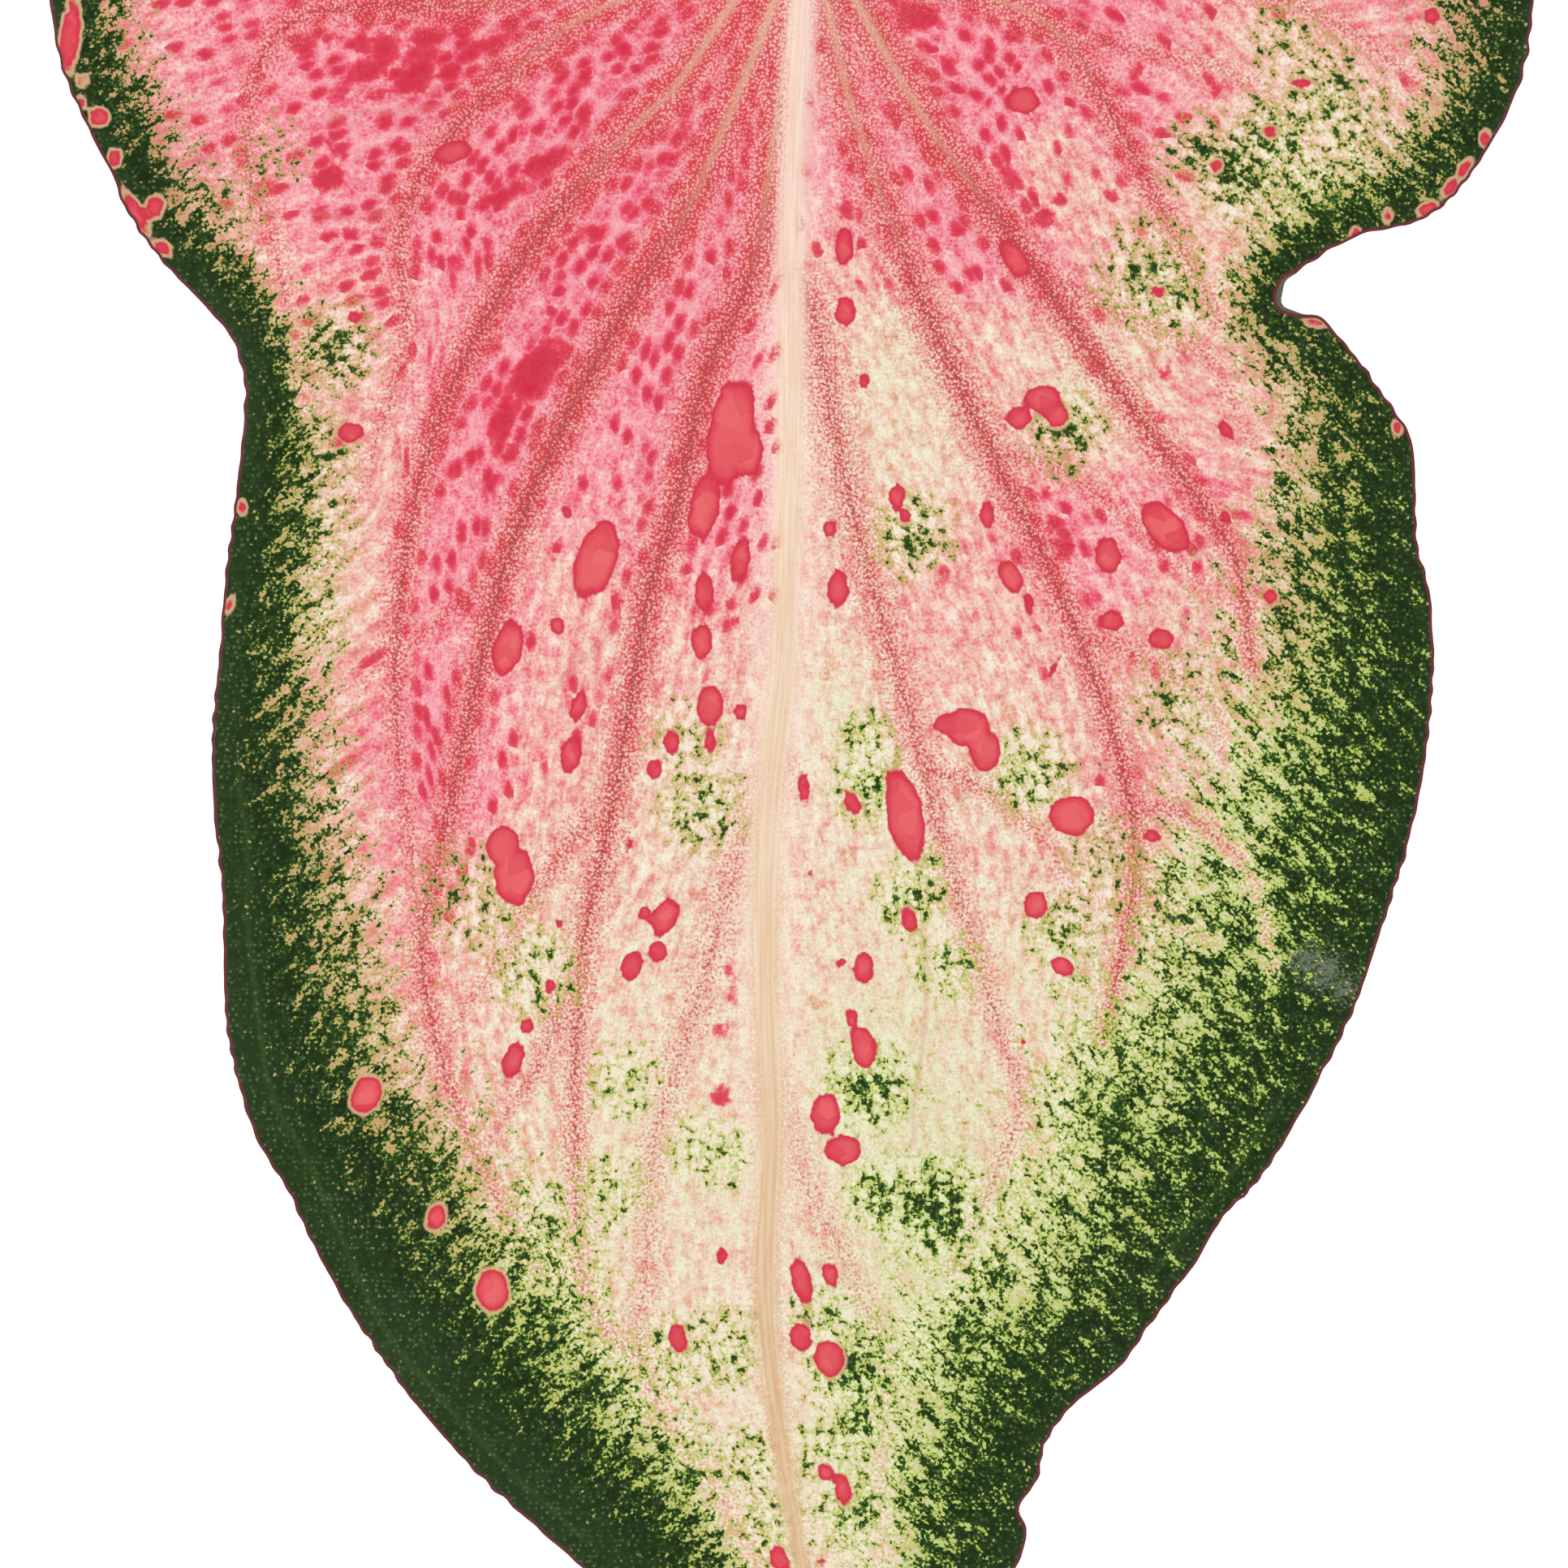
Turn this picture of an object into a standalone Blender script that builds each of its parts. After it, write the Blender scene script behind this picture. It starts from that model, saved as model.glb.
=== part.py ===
"""A fancy-leaved caladium leaf as picked, lying face up on a flat surface.

Metres, +Z up. The origin is on the surface, straight below the point where the stalk meets the
blade and all the main veins start. The blade's tip points along -Y, the stalk runs along +Y.
The blade is one thin waved sheet with its veins standing out as ribs below and low ridges above.
"""
import math

import bmesh
import bpy
import numpy as np
from mathutils import Vector, geometry

MM = 0.001

# Driving dimensions, in millimetres
BLADE_THICKNESS = 0.9
SHEET_RISE = 5.0
RISE_REACH = 62.0
EDGE_WAVE = 4.6
EDGE_WAVE_REACH = 14.0
EDGE_WAVES = 17
WAVE_DRIFT = 1.4
WAVE_START = 0.6
SWELLS = 5
SWELL_SHARE = 0.4
SWELL_START = 1.0
QUILT_DEPTH = 0.5
QUILT_REACH = 5.0
STALK_CARRY = 6.95
STALK_CARRY_WIDTH = 11.0
CARRY_FADES_AT = -30.0
CARRY_FADE = 9.0
BLEND = 1.2
MIDRIB_WIDTH = 4.8
MIDRIB_DEPTH = 2.2
VEIN_WIDTH = 2.6
VEIN_DEPTH = 1.3
BRANCH_WIDTH = 2.0
BRANCH_DEPTH = 0.7
END_WIDTH = 2.0
END_SHARE = 0.4
RIDGE_SHARE = 0.25
VEIN_TO_EDGE = 1.5
JUNCTION_DEPTH = 0.85
JUNCTION_REACH = 12.0
STALK_SIDES = 14
STALK_RADIUS_TOP = 2.25
STALK_RADIUS_CUT = 3.5
STALK_LENGTH = 98.0
STALK_START = -3.0
# Each ring of the blunt upper end: how far it lies behind the stalk's start, its radius, and how
# far its top lies below the stalk's top
STALK_END_RINGS = [(3.2, 0.6, 0.6), (2.8, 1.2, 0.4), (2.0, 1.75, 0.2), (0.9, 2.1, 0.05)]

# Spacing of the blade's points, in millimetres: along the edge, along a vein, and in between
OUTLINE_STEP = 3.0
VEIN_STEP = 5.0
FILL_STEP = 7.0
FILL_TO_EDGE = 2.5
CREST_CLEARANCE = 1.2
SIDE_CLEARANCE = 0.9
FILL_CLEARANCE = 4.0
LONGEST_RIDGE = 8.0

# The blade's edge, counter-clockwise from the bottom of the cleft between the two basal lobes
OUTLINE = [
    (0.0, 26.0), (-5.0, 28.5), (-10.5, 33.5), (-17.0, 41.0), (-23.5, 49.5), (-30.0, 57.0), (-37.5, 62.8),
    (-45.5, 65.6), (-54.0, 64.8), (-62.5, 61.0), (-71.0, 54.0), (-78.5, 45.0), (-85.0, 33.5),
    (-89.5, 21.0), (-92.2, 8.0), (-92.9, -2.0), (-92.4, -9.0), (-91.0, -17.0), (-88.1, -24.0),
    (-84.8, -30.6), (-82.9, -35.2), (-78.8, -41.0), (-73.1, -47.0), (-69.7, -51.5), (-68.4, -58.0),
    (-69.4, -69.0), (-70.9, -80.0), (-71.6, -89.0), (-72.5, -99.0), (-72.3, -109.0), (-71.3, -119.0),
    (-70.9, -134.0), (-69.4, -142.0), (-66.9, -149.5), (-63.2, -155.6), (-61.1, -160.3), (-58.5, -165.4),
    (-55.3, -171.0), (-49.2, -179.6), (-45.9, -183.6), (-41.3, -188.8), (-38.0, -192.2), (-31.0, -198.6),
    (-27.0, -202.2), (-18.5, -210.0), (-9.5, -218.0), (-3.0, -224.5), (1.2, -230.5), (3.6, -236.0),
    (4.9, -240.0), (5.9, -236.0), (7.4, -230.0), (11.0, -223.0), (16.0, -217.0), (21.5, -210.5),
    (26.6, -202.2), (27.9, -197.5), (26.9, -194.8), (29.1, -191.6), (30.1, -187.4), (33.0, -182.8),
    (39.4, -177.5), (42.7, -172.9), (48.7, -164.5), (52.0, -158.9), (55.3, -155.6), (58.5, -151.4),
    (63.2, -143.5), (68.1, -133.8), (71.4, -124.0), (74.6, -114.0), (76.9, -104.0), (78.1, -92.0),
    (77.6, -82.0), (76.1, -76.0), (75.8, -66.5), (75.1, -62.2), (73.6, -60.0), (70.3, -55.2),
    (68.0, -52.2), (66.5, -50.5), (64.2, -48.0), (61.8, -47.6), (59.4, -46.4), (60.0, -43.6),
    (63.4, -41.0), (68.9, -38.0), (75.4, -36.5), (79.6, -34.0), (83.7, -29.0), (87.4, -22.5),
    (89.6, -16.0), (90.5, -6.0), (90.6, 3.0), (89.0, 17.0), (84.5, 31.5), (77.5, 44.5), (69.0, 55.5),
    (60.5, 62.6), (52.0, 66.6), (43.5, 67.0), (36.0, 63.6), (29.5, 57.0), (23.5, 49.0), (16.5, 40.0),
    (10.0, 33.0), (5.0, 28.5),
]

MIDRIB = [
    (0.0, -4.5), (0.2, -9.0), (-0.9, -29.0), (-1.2, -49.0), (-1.4, -69.0), (-2.1, -89.0), (-4.0, -109.0),
    (-4.3, -129.0), (-3.6, -149.0), (-4.3, -169.0), (-2.1, -189.0), (0.5, -204.0), (3.0, -220.0),
    (4.6, -236.0),
]

# The main veins, each from its start at or near the stalk or the midrib out to its end
PRIMARIES = [
    [(-0.6, -9.0), (-2.0, -18.4), (-4.0, -32.0), (-6.3, -43.4), (-11.7, -55.5), (-15.4, -72.0),
     (-18.6, -82.0), (-20.6, -94.1), (-24.4, -114.3), (-26.9, -126.9), (-27.7, -147.7), (-26.3, -168.7),
     (-19.3, -177.1)],
    [(-3.4, -104.0), (-7.6, -114.3), (-12.2, -130.3), (-17.9, -150.0), (-19.0, -166.3), (-20.0, -173.0),
     (-17.2, -182.7), (-9.5, -194.3), (-4.5, -203.0), (-1.0, -213.0)],
    [(-1.0, -4.0), (-3.0, -9.0), (-6.3, -17.4), (-13.7, -34.5), (-20.9, -45.9), (-29.4, -61.9),
     (-35.0, -74.7), (-38.8, -88.2), (-43.5, -110.1), (-46.6, -126.9), (-42.6, -144.9), (-37.8, -155.6),
     (-32.1, -166.0)],
    [(-2.5, -2.5), (-7.9, -9.0), (-15.5, -20.0), (-21.8, -26.1), (-33.6, -40.0), (-43.7, -58.5),
     (-48.5, -76.4), (-49.8, -95.3), (-48.0, -114.0), (-46.6, -125.5)],
    [(-3.5, -1.5), (-15.0, -6.5), (-28.5, -12.4), (-42.0, -24.6), (-49.1, -36.4), (-48.7, -51.1),
     (-54.1, -69.0)],
    [(-3.5, -0.5), (-20.0, -5.0), (-40.0, -9.6), (-58.0, -10.2), (-65.6, -15.0), (-68.2, -28.0),
     (-64.1, -42.0), (-61.1, -59.0)],
    [(-2.8, 2.2), (-16.0, 12.0), (-27.0, 21.0), (-38.0, 31.0), (-47.0, 42.0), (-52.0, 54.0)],
    [(1.0, -4.0), (3.1, -9.0), (6.4, -22.5), (12.8, -40.9), (20.1, -57.7), (28.2, -74.3), (34.5, -88.2),
     (40.0, -105.0), (41.0, -117.7), (37.4, -137.0)],
    [(-0.6, -43.0), (1.9, -49.0), (5.9, -70.1), (12.6, -94.1), (17.3, -112.2), (24.2, -135.1),
     (27.1, -144.2), (24.2, -153.3), (19.1, -165.4)],
    [(-3.7, -143.0), (-0.6, -151.9), (5.9, -165.4), (10.1, -175.7), (9.7, -192.0), (11.0, -206.0)],
    [(2.5, -2.5), (6.7, -9.0), (15.4, -24.0), (26.0, -38.3), (36.5, -53.4), (47.7, -68.7), (53.8, -78.5),
     (55.7, -91.6)],
    [(3.5, -1.5), (14.0, -6.0), (26.8, -10.1), (34.0, -16.0), (43.3, -32.4), (51.3, -48.4)],
    [(3.5, -0.5), (25.0, -3.5), (50.0, -6.5), (66.1, -12.0), (75.9, -19.0)],
    [(2.8, 2.2), (16.0, 12.5), (26.5, 22.0), (37.0, 32.5), (45.5, 43.5), (50.0, 55.5)],
]

# The stronger side veins, each from the main vein that it leaves
BRANCHES = [
    [(-36.7, -79.5), (-43.5, -84.8), (-54.6, -94.0)],
    [(-26.0, -110.1), (-32.5, -118.5), (-36.7, -126.1), (-43.6, -137.4)],
    [(-29.6, -133.0), (-31.9, -139.3), (-38.6, -150.0)],
    [(23.2, -65.0), (31.1, -66.5), (37.6, -70.8), (47.5, -79.4), (53.6, -83.8)],
    [(34.5, -87.6), (40.0, -89.0), (50.1, -95.3), (51.9, -102.9)],
    [(41.0, -109.2), (46.7, -109.0), (55.1, -116.4), (58.5, -129.0)],
    [(41.2, -118.0), (46.4, -123.0), (51.0, -125.0)],
    [(15.8, -104.0), (21.9, -105.9), (29.6, -112.0), (33.2, -118.5)],
    [(29.0, -42.3), (37.8, -47.1), (49.2, -52.2), (55.9, -63.5)],
    [(31.1, -13.0), (41.5, -15.3), (54.0, -18.5), (62.6, -26.9)],
    [(-16.0, 12.0), (-30.0, 14.5), (-50.0, 12.5), (-72.0, 2.0)],
    [(-27.0, 21.0), (-42.0, 26.0), (-60.0, 26.5), (-75.0, 21.0)],
    [(-38.0, 31.0), (-50.0, 38.0), (-64.0, 40.5), (-73.0, 37.5)],
    [(-16.0, 12.0), (-21.0, 23.0), (-24.5, 38.0)],
    [(16.0, 12.5), (30.0, 15.0), (50.0, 13.5), (72.0, 4.5)],
    [(26.5, 22.0), (41.0, 27.5), (58.0, 28.5), (73.0, 24.0)],
    [(37.0, 32.5), (49.0, 39.5), (61.0, 42.0), (70.0, 40.0)],
    [(16.0, 12.5), (20.5, 23.0), (24.0, 38.0)],
]

# The stalk's centre line seen from above, from the junction to the cut end
STALK_ROUTE = [(0.0, STALK_START), (0.2, 12.0), (1.0, 30.0), (2.6, 55.0), (4.8, 78.0), (7.4, STALK_LENGTH)]


def clear_scene():
    """Removes what the scene holds."""
    for old in list(bpy.data.objects):
        bpy.data.objects.remove(old)


def smooth_line(points, step, closed=False):
    """Points every step or so along a Catmull-Rom curve through the given points."""
    p = np.array(points, float)
    ends = (p[-1:], p[:2]) if closed else (2 * p[:1] - p[1:2], 2 * p[-1:] - p[-2:-1])
    p = np.vstack([ends[0], p, ends[1]])
    t = np.linspace(0, 1, 24, endpoint=False)[:, None]
    runs = []
    for a, b, c, d in zip(p[:-3], p[1:-2], p[2:-1], p[3:]):
        runs.append(0.5 * (2 * b + (c - a) * t + (2 * a - 5 * b + 4 * c - d) * t**2
                           + (3 * b - a - 3 * c + d) * t**3))
    line = np.vstack(runs + [p[-2:-1]])
    run = np.concatenate([[0.0], np.cumsum(np.linalg.norm(np.diff(line, axis=0), axis=1))])
    count = max(2, round(run[-1] / step))
    at = np.linspace(0, run[-1], count + 1)
    if closed:
        at = at[:-1]
    return np.column_stack([np.interp(at, run, line[:, 0]), np.interp(at, run, line[:, 1])])


def nearest(points, line):
    """For each point, its distance to a line of points and how far along the line, from 0 to 1."""
    a, b = line[:-1], line[1:]
    along = b - a
    length = np.maximum(np.linalg.norm(along, axis=1), 1e-9)
    start = np.concatenate([[0.0], np.cumsum(length)])
    rel = points[:, None, :] - a[None]
    t = np.clip((rel * along[None]).sum(2) / length**2, 0, 1)
    gap = np.linalg.norm(rel - t[..., None] * along[None], axis=2)
    k = gap.argmin(1)
    rows = np.arange(len(points))
    return gap[rows, k], (start[k] + t[rows, k] * length[k]) / start[-1]


def side_row(line, offset):
    """A line beside the given one, at a distance that may change along it."""
    tangent = np.gradient(line, axis=0)
    tangent /= np.linalg.norm(tangent, axis=1)[:, None]
    normal = np.column_stack([-tangent[:, 1], tangent[:, 0]])
    return line + normal * np.broadcast_to(offset, len(line))[:, None]


def veins():
    """Every vein as (points along it, full width at its start, depth at its start)."""
    found = [(smooth_line(MIDRIB, VEIN_STEP), MIDRIB_WIDTH, MIDRIB_DEPTH)]
    found += [(smooth_line(v, VEIN_STEP), VEIN_WIDTH, VEIN_DEPTH) for v in PRIMARIES]
    found += [(smooth_line(v, VEIN_STEP), BRANCH_WIDTH, BRANCH_DEPTH) for v in BRANCHES]
    return found


def half_width(width, share):
    """Half a vein's width, at a share of its length from its start."""
    return 0.5 * (width + (END_WIDTH - width) * share)


def rib_depth(points, network):
    """How far the veins stand out below the sheet: a tent across each vein, the deepest one winning."""
    depth = np.zeros(len(points))
    for line, width, deep in network:
        gap, share = nearest(points, line)
        tent = np.clip(1 - gap / half_width(width, share), 0, 1)
        depth = np.maximum(depth, deep * (1 - (1 - END_SHARE) * share) * tent)
    from_junction = np.linalg.norm(points, axis=1)
    near = np.exp(-((from_junction / JUNCTION_REACH) ** 4))
    return np.minimum(depth, JUNCTION_DEPTH + (1 - near) * MIDRIB_DEPTH)


def soft_max(a, b):
    """The larger of two heights, rounded where they meet."""
    return 0.5 * (a + b + np.sqrt((a - b) ** 2 + BLEND**2))


def edge_beat(turn):
    """The edge's waves, from 0 to 1, at an angle round the outline: uneven in length and in height."""
    beat = np.sin(EDGE_WAVES * turn + WAVE_DRIFT * np.sin(3 * turn) + WAVE_START)
    swell = 1 - SWELL_SHARE + SWELL_SHARE * np.sin(SWELLS * turn + SWELL_START)
    return swell * (0.5 + 0.5 * beat)


def sheet_height(points, edge, network):
    """Height of the middle of the sheet: low at the edge, carried by the stalk, waved and quilted."""
    loop = np.vstack([edge, edge[:1]])
    from_edge, around = nearest(points, loop)
    rise = SHEET_RISE * np.sin(0.5 * math.pi * np.clip(from_edge / RISE_REACH, 0, 1))
    wave = EDGE_WAVE * edge_beat(2 * math.pi * around) * np.exp(-((from_edge / EDGE_WAVE_REACH) ** 2))
    to_vein = np.min([nearest(points, line)[0] for line, width, deep in network], axis=0)
    quilt = QUILT_DEPTH * (1 - np.exp(-((to_vein / QUILT_REACH) ** 2)))
    near_stalk = np.exp(-((points[:, 0] / STALK_CARRY_WIDTH) ** 2) / 2)
    ahead = 1 / (1 + np.exp((CARRY_FADES_AT - points[:, 1]) / CARRY_FADE))
    carry = STALK_CARRY * near_stalk * ahead
    lift = soft_max(rise + wave + quilt, carry) - soft_max(QUILT_DEPTH, 0.0)
    return 0.5 * BLADE_THICKNESS + np.maximum(lift, 0.0)


def spread(groups, clearance):
    """Joins groups of points in order, leaving out each that lies too close to one already taken.
    Gives the points and, for each group, the index that each of its points got, or -1."""
    taken = np.empty((0, 2))
    numbers = []
    for group, clear in zip(groups, clearance):
        own = []
        for p in group:
            near = len(taken) and np.min(np.hypot(*(taken - p).T)) < clear
            own.append(-1 if near else len(taken))
            if not near:
                taken = np.vstack([taken, p])
        numbers.append(own)
    return taken, numbers


def fill_points(edge):
    """A staggered grid over the blade's box, without what lies outside the edge."""
    low, high = edge.min(0), edge.max(0)
    rows = np.arange(low[1], high[1], FILL_STEP * math.sqrt(3) / 2)
    points = []
    for i, y in enumerate(rows):
        xs = np.arange(low[0] + (i % 2) * FILL_STEP / 2, high[0], FILL_STEP)
        points.append(np.column_stack([xs, np.full(len(xs), y)]))
    points = np.vstack(points)
    return points[inside(points, edge)]


def inside(points, edge):
    """True for each point within the closed edge, by counting the crossings to its right."""
    a, b = edge, np.roll(edge, -1, axis=0)
    x, y = points[:, 0, None], points[:, 1, None]
    spans = (a[None, :, 1] > y) != (b[None, :, 1] > y)
    rise = np.where(np.abs(b[:, 1] - a[:, 1]) < 1e-12, 1e-12, b[:, 1] - a[:, 1])
    crossing = a[None, :, 0] + (y - a[None, :, 1]) * ((b[:, 0] - a[:, 0]) / rise)[None]
    return (spans & (crossing > x)).sum(1) % 2 == 1


def within(rows, edge, clear):
    """Keeps the points of each row that lie inside the edge and at least clear from it."""
    loop = np.vstack([edge, edge[:1]])
    kept = []
    for row in rows:
        far = nearest(row, loop)[0] > clear
        kept.append(row[inside(row, edge) & far])
    return kept


def flat_net(edge, network):
    """The blade's flat pattern as points and triangles: its edge, rows along each vein, and a filling."""
    crests = [line for line, width, deep in network]
    sides = []
    for line, width, deep in network:
        half = half_width(width, np.linspace(0, 1, len(line)))
        sides += [side_row(line, half), side_row(line, -half)]
    crests = within(crests, edge, VEIN_TO_EDGE)
    sides = within(sides, edge, VEIN_TO_EDGE)
    groups = [edge] + crests + sides + within([fill_points(edge)], edge, FILL_TO_EDGE)
    clear = [0.0] + [CREST_CLEARANCE] * len(crests) + [SIDE_CLEARANCE] * len(sides) + [FILL_CLEARANCE]
    points, numbers = spread(groups, clear)
    ridges = []
    for own in numbers[1:1 + len(crests)]:
        kept = [i for i in own if i >= 0]
        steps = zip(kept[:-1], kept[1:])
        ridges += [(i, j) for i, j in steps if np.hypot(*(points[i] - points[j])) < LONGEST_RIDGE]
    outer = [list(range(len(edge)))]
    flat = [Vector(p) for p in points]
    made = geometry.delaunay_2d_cdt(flat, ridges, outer, 1, 1e-6)
    return np.array([tuple(v) for v in made[0]]), made[2]


def material(name, colour, roughness):
    """A plain Principled material."""
    made = bpy.data.materials.new(name)
    made.use_nodes = True
    shader = made.node_tree.nodes["Principled BSDF"]
    shader.inputs["Base Color"].default_value = (*colour, 1)
    shader.inputs["Roughness"].default_value = roughness
    made.diffuse_color = (*colour, 1)
    return made


def add_object(name, shape, finish):
    """Turns a bmesh into an object in the scene, shaded smooth over its gentle bends."""
    bmesh.ops.recalc_face_normals(shape, faces=shape.faces)
    mesh = bpy.data.meshes.new(name)
    shape.to_mesh(mesh)
    shape.free()
    mesh.shade_smooth()
    mesh.set_sharp_from_angle(angle=math.radians(50))
    mesh.materials.append(finish)
    made = bpy.data.objects.new(name, mesh)
    bpy.context.scene.collection.objects.link(made)
    return made


def leaf_blade():
    """The sheet: one pattern of triangles used above and below, so a waved sheet never crosses itself."""
    edge = smooth_line(OUTLINE, OUTLINE_STEP, closed=True)
    network = veins()
    flat, triangles = flat_net(edge, network)
    middle = sheet_height(flat, edge, network)
    rib = rib_depth(flat, network)
    above = middle + 0.5 * BLADE_THICKNESS + RIDGE_SHARE * rib
    below = np.maximum(middle - 0.5 * BLADE_THICKNESS - rib, 0.0)
    shape = bmesh.new()
    top = [shape.verts.new((x * MM, y * MM, z * MM)) for (x, y), z in zip(flat, above)]
    low = [shape.verts.new((x * MM, y * MM, z * MM)) for (x, y), z in zip(flat, below)]
    for a, b, c in triangles:
        shape.faces.new((top[a], top[b], top[c]))
        shape.faces.new((low[c], low[b], low[a]))
    sides = {(a, b) for tri in triangles for a, b in zip(tri, tri[1:] + tri[:1])}
    for a, b in sorted(sides):
        if (b, a) not in sides:
            shape.faces.new((top[b], top[a], low[a]))
            shape.faces.new((top[b], low[a], low[b]))
    return add_object("leaf_blade", shape, material("leaf_blade", (0.80, 0.55, 0.50), 0.5))


def stalk_rings():
    """Each ring of the stalk as (x, y, z of its centre, radius), from the blunt upper end to the cut."""
    route = smooth_line(STALK_ROUTE, 5.0)
    flat_side = math.cos(math.pi / STALK_SIDES)
    top = STALK_RADIUS_TOP * (1 + flat_side)
    rings = []
    for back, radius, drop in STALK_END_RINGS:
        rings.append((0.0, STALK_START - back, top - drop - radius, radius))
    shares = np.linspace(0, 1, len(route))
    for (x, y), share in zip(route, shares):
        radius = STALK_RADIUS_TOP + (STALK_RADIUS_CUT - STALK_RADIUS_TOP) * share**0.8
        rings.append((x, y, radius * flat_side, radius))
    return rings


def petiole():
    """The stalk lies on the surface with a narrow flat side down, and meets the blade's underside."""
    shape = bmesh.new()
    rings = stalk_rings()
    centres = np.array([ring[:2] for ring in rings])
    tangent = np.gradient(centres, axis=0)
    tangent /= np.linalg.norm(tangent, axis=1)[:, None]
    loops = []
    for (x, y, z, radius), (tx, ty) in zip(rings, tangent):
        loop = []
        for i in range(STALK_SIDES):
            angle = 2 * math.pi * (i + 0.5) / STALK_SIDES - 0.5 * math.pi
            out, up = radius * math.cos(angle), radius * math.sin(angle)
            loop.append(shape.verts.new(((x + ty * out) * MM, (y - tx * out) * MM, (z + up) * MM)))
        loops.append(loop)
    for a, b in zip(loops[:-1], loops[1:]):
        for i in range(STALK_SIDES):
            j = (i + 1) % STALK_SIDES
            shape.faces.new((a[i], a[j], b[j], b[i]))
    shape.faces.new(loops[0])
    shape.faces.new(loops[-1])
    return add_object("petiole", shape, material("petiole", (0.45, 0.32, 0.24), 0.45))


clear_scene()
leaf_blade()
petiole()
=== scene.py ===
"""A picked fancy-leaved caladium leaf, lying face up: the looks of its blade and of its stalk.

Metres, +Z up. Lengths in this file are in millimetres until a mesh is filled. The origin is on the
table, straight below the point where the stalk meets the blade, and the tip points along -Y.
"""

import math

import bpy
import numpy as np
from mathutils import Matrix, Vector, geometry


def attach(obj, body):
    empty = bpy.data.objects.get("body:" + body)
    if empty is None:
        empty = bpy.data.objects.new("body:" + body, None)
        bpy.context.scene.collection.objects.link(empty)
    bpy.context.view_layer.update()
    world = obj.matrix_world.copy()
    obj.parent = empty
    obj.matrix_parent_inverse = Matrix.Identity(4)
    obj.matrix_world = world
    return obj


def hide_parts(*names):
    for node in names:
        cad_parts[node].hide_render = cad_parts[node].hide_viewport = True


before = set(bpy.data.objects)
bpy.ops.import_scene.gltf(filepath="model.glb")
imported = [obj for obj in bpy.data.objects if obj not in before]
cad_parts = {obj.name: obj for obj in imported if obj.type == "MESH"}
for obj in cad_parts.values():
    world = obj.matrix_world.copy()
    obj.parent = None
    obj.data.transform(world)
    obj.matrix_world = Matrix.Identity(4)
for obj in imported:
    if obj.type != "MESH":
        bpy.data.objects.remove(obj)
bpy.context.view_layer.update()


# Leaf blade: one thin sheet of living tissue that grew in one piece, about 0.5 mm thick, with a broad
# midrib, main veins fanning out from the stalk, and a fine maroon rim. It is low at its waved edge
# and domed in the middle, where the stalk and the thick veins carry it.

MM = 0.001

# Shape of the sheet, as in the solid model
SHEET_RISE = 5.0
RISE_REACH = 62.0
EDGE_WAVE = 4.6
EDGE_WAVE_REACH = 14.0
EDGE_WAVES = 17
WAVE_DRIFT = 1.4
WAVE_DRIFTS = 3
WAVE_START = 0.6
SWELLS = 5
SWELL_SHARE = 0.4
SWELL_START = 1.0
QUILT_DEPTH = 0.5
QUILT_REACH = 5.0
STALK_CARRY = 6.95
STALK_CARRY_WIDTH = 11.0
CARRY_FADES_AT = -30.0
CARRY_FADE = 9.0
BLEND = 1.2
MIDRIB_WIDTH = 4.8
MIDRIB_DEPTH = 2.2
VEIN_WIDTH = 2.6
VEIN_DEPTH = 1.3
BRANCH_WIDTH = 2.0
BRANCH_DEPTH = 0.7
END_WIDTH = 2.0
END_SHARE = 0.4
RIDGE_SHARE = 0.25
JUNCTION_DEPTH = 0.85
JUNCTION_REACH = 12.0

# What the solid model leaves out: the real thickness, and the small bumps along the edge
SHEET_THICKNESS = 0.5
RIM_THICKNESS = 0.3
RIM_TAPER = 0.8
NIBBLE = 0.13
# The bumps are two runs of waves: how many round the leaf, their drift and how often it turns, how often
# they swell and from where, and their share
NIBBLES = [(311, 2.0, 23, 41, 1.0, 1.0), (167, 1.7, 31, 29, 0.0, 0.7)]
SHARP_ANGLE = math.radians(60)

# Spacing of the blade's points. A row keeps the points that are at least a share of its own distance
# away from the line that it follows
EDGE_STEP = 0.6
SPAN_POINTS = 24
RIM_KEEP = 0.85
VEIN_KEEP = 0.9
WELD = 1e-5
BLOCK = 2_000_000
TINY = 1e-12
RIM_ROWS = [0.22, 0.45, 0.75, 1.3]
VEIN_STEP = 0.9
VEIN_SIDE_ROW = 0.65
FILL_STEP = 1.04
FILL_TO_EDGE = 1.8
FILL_TO_VEIN = 0.45
VEIN_TO_EDGE = 1.5

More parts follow.
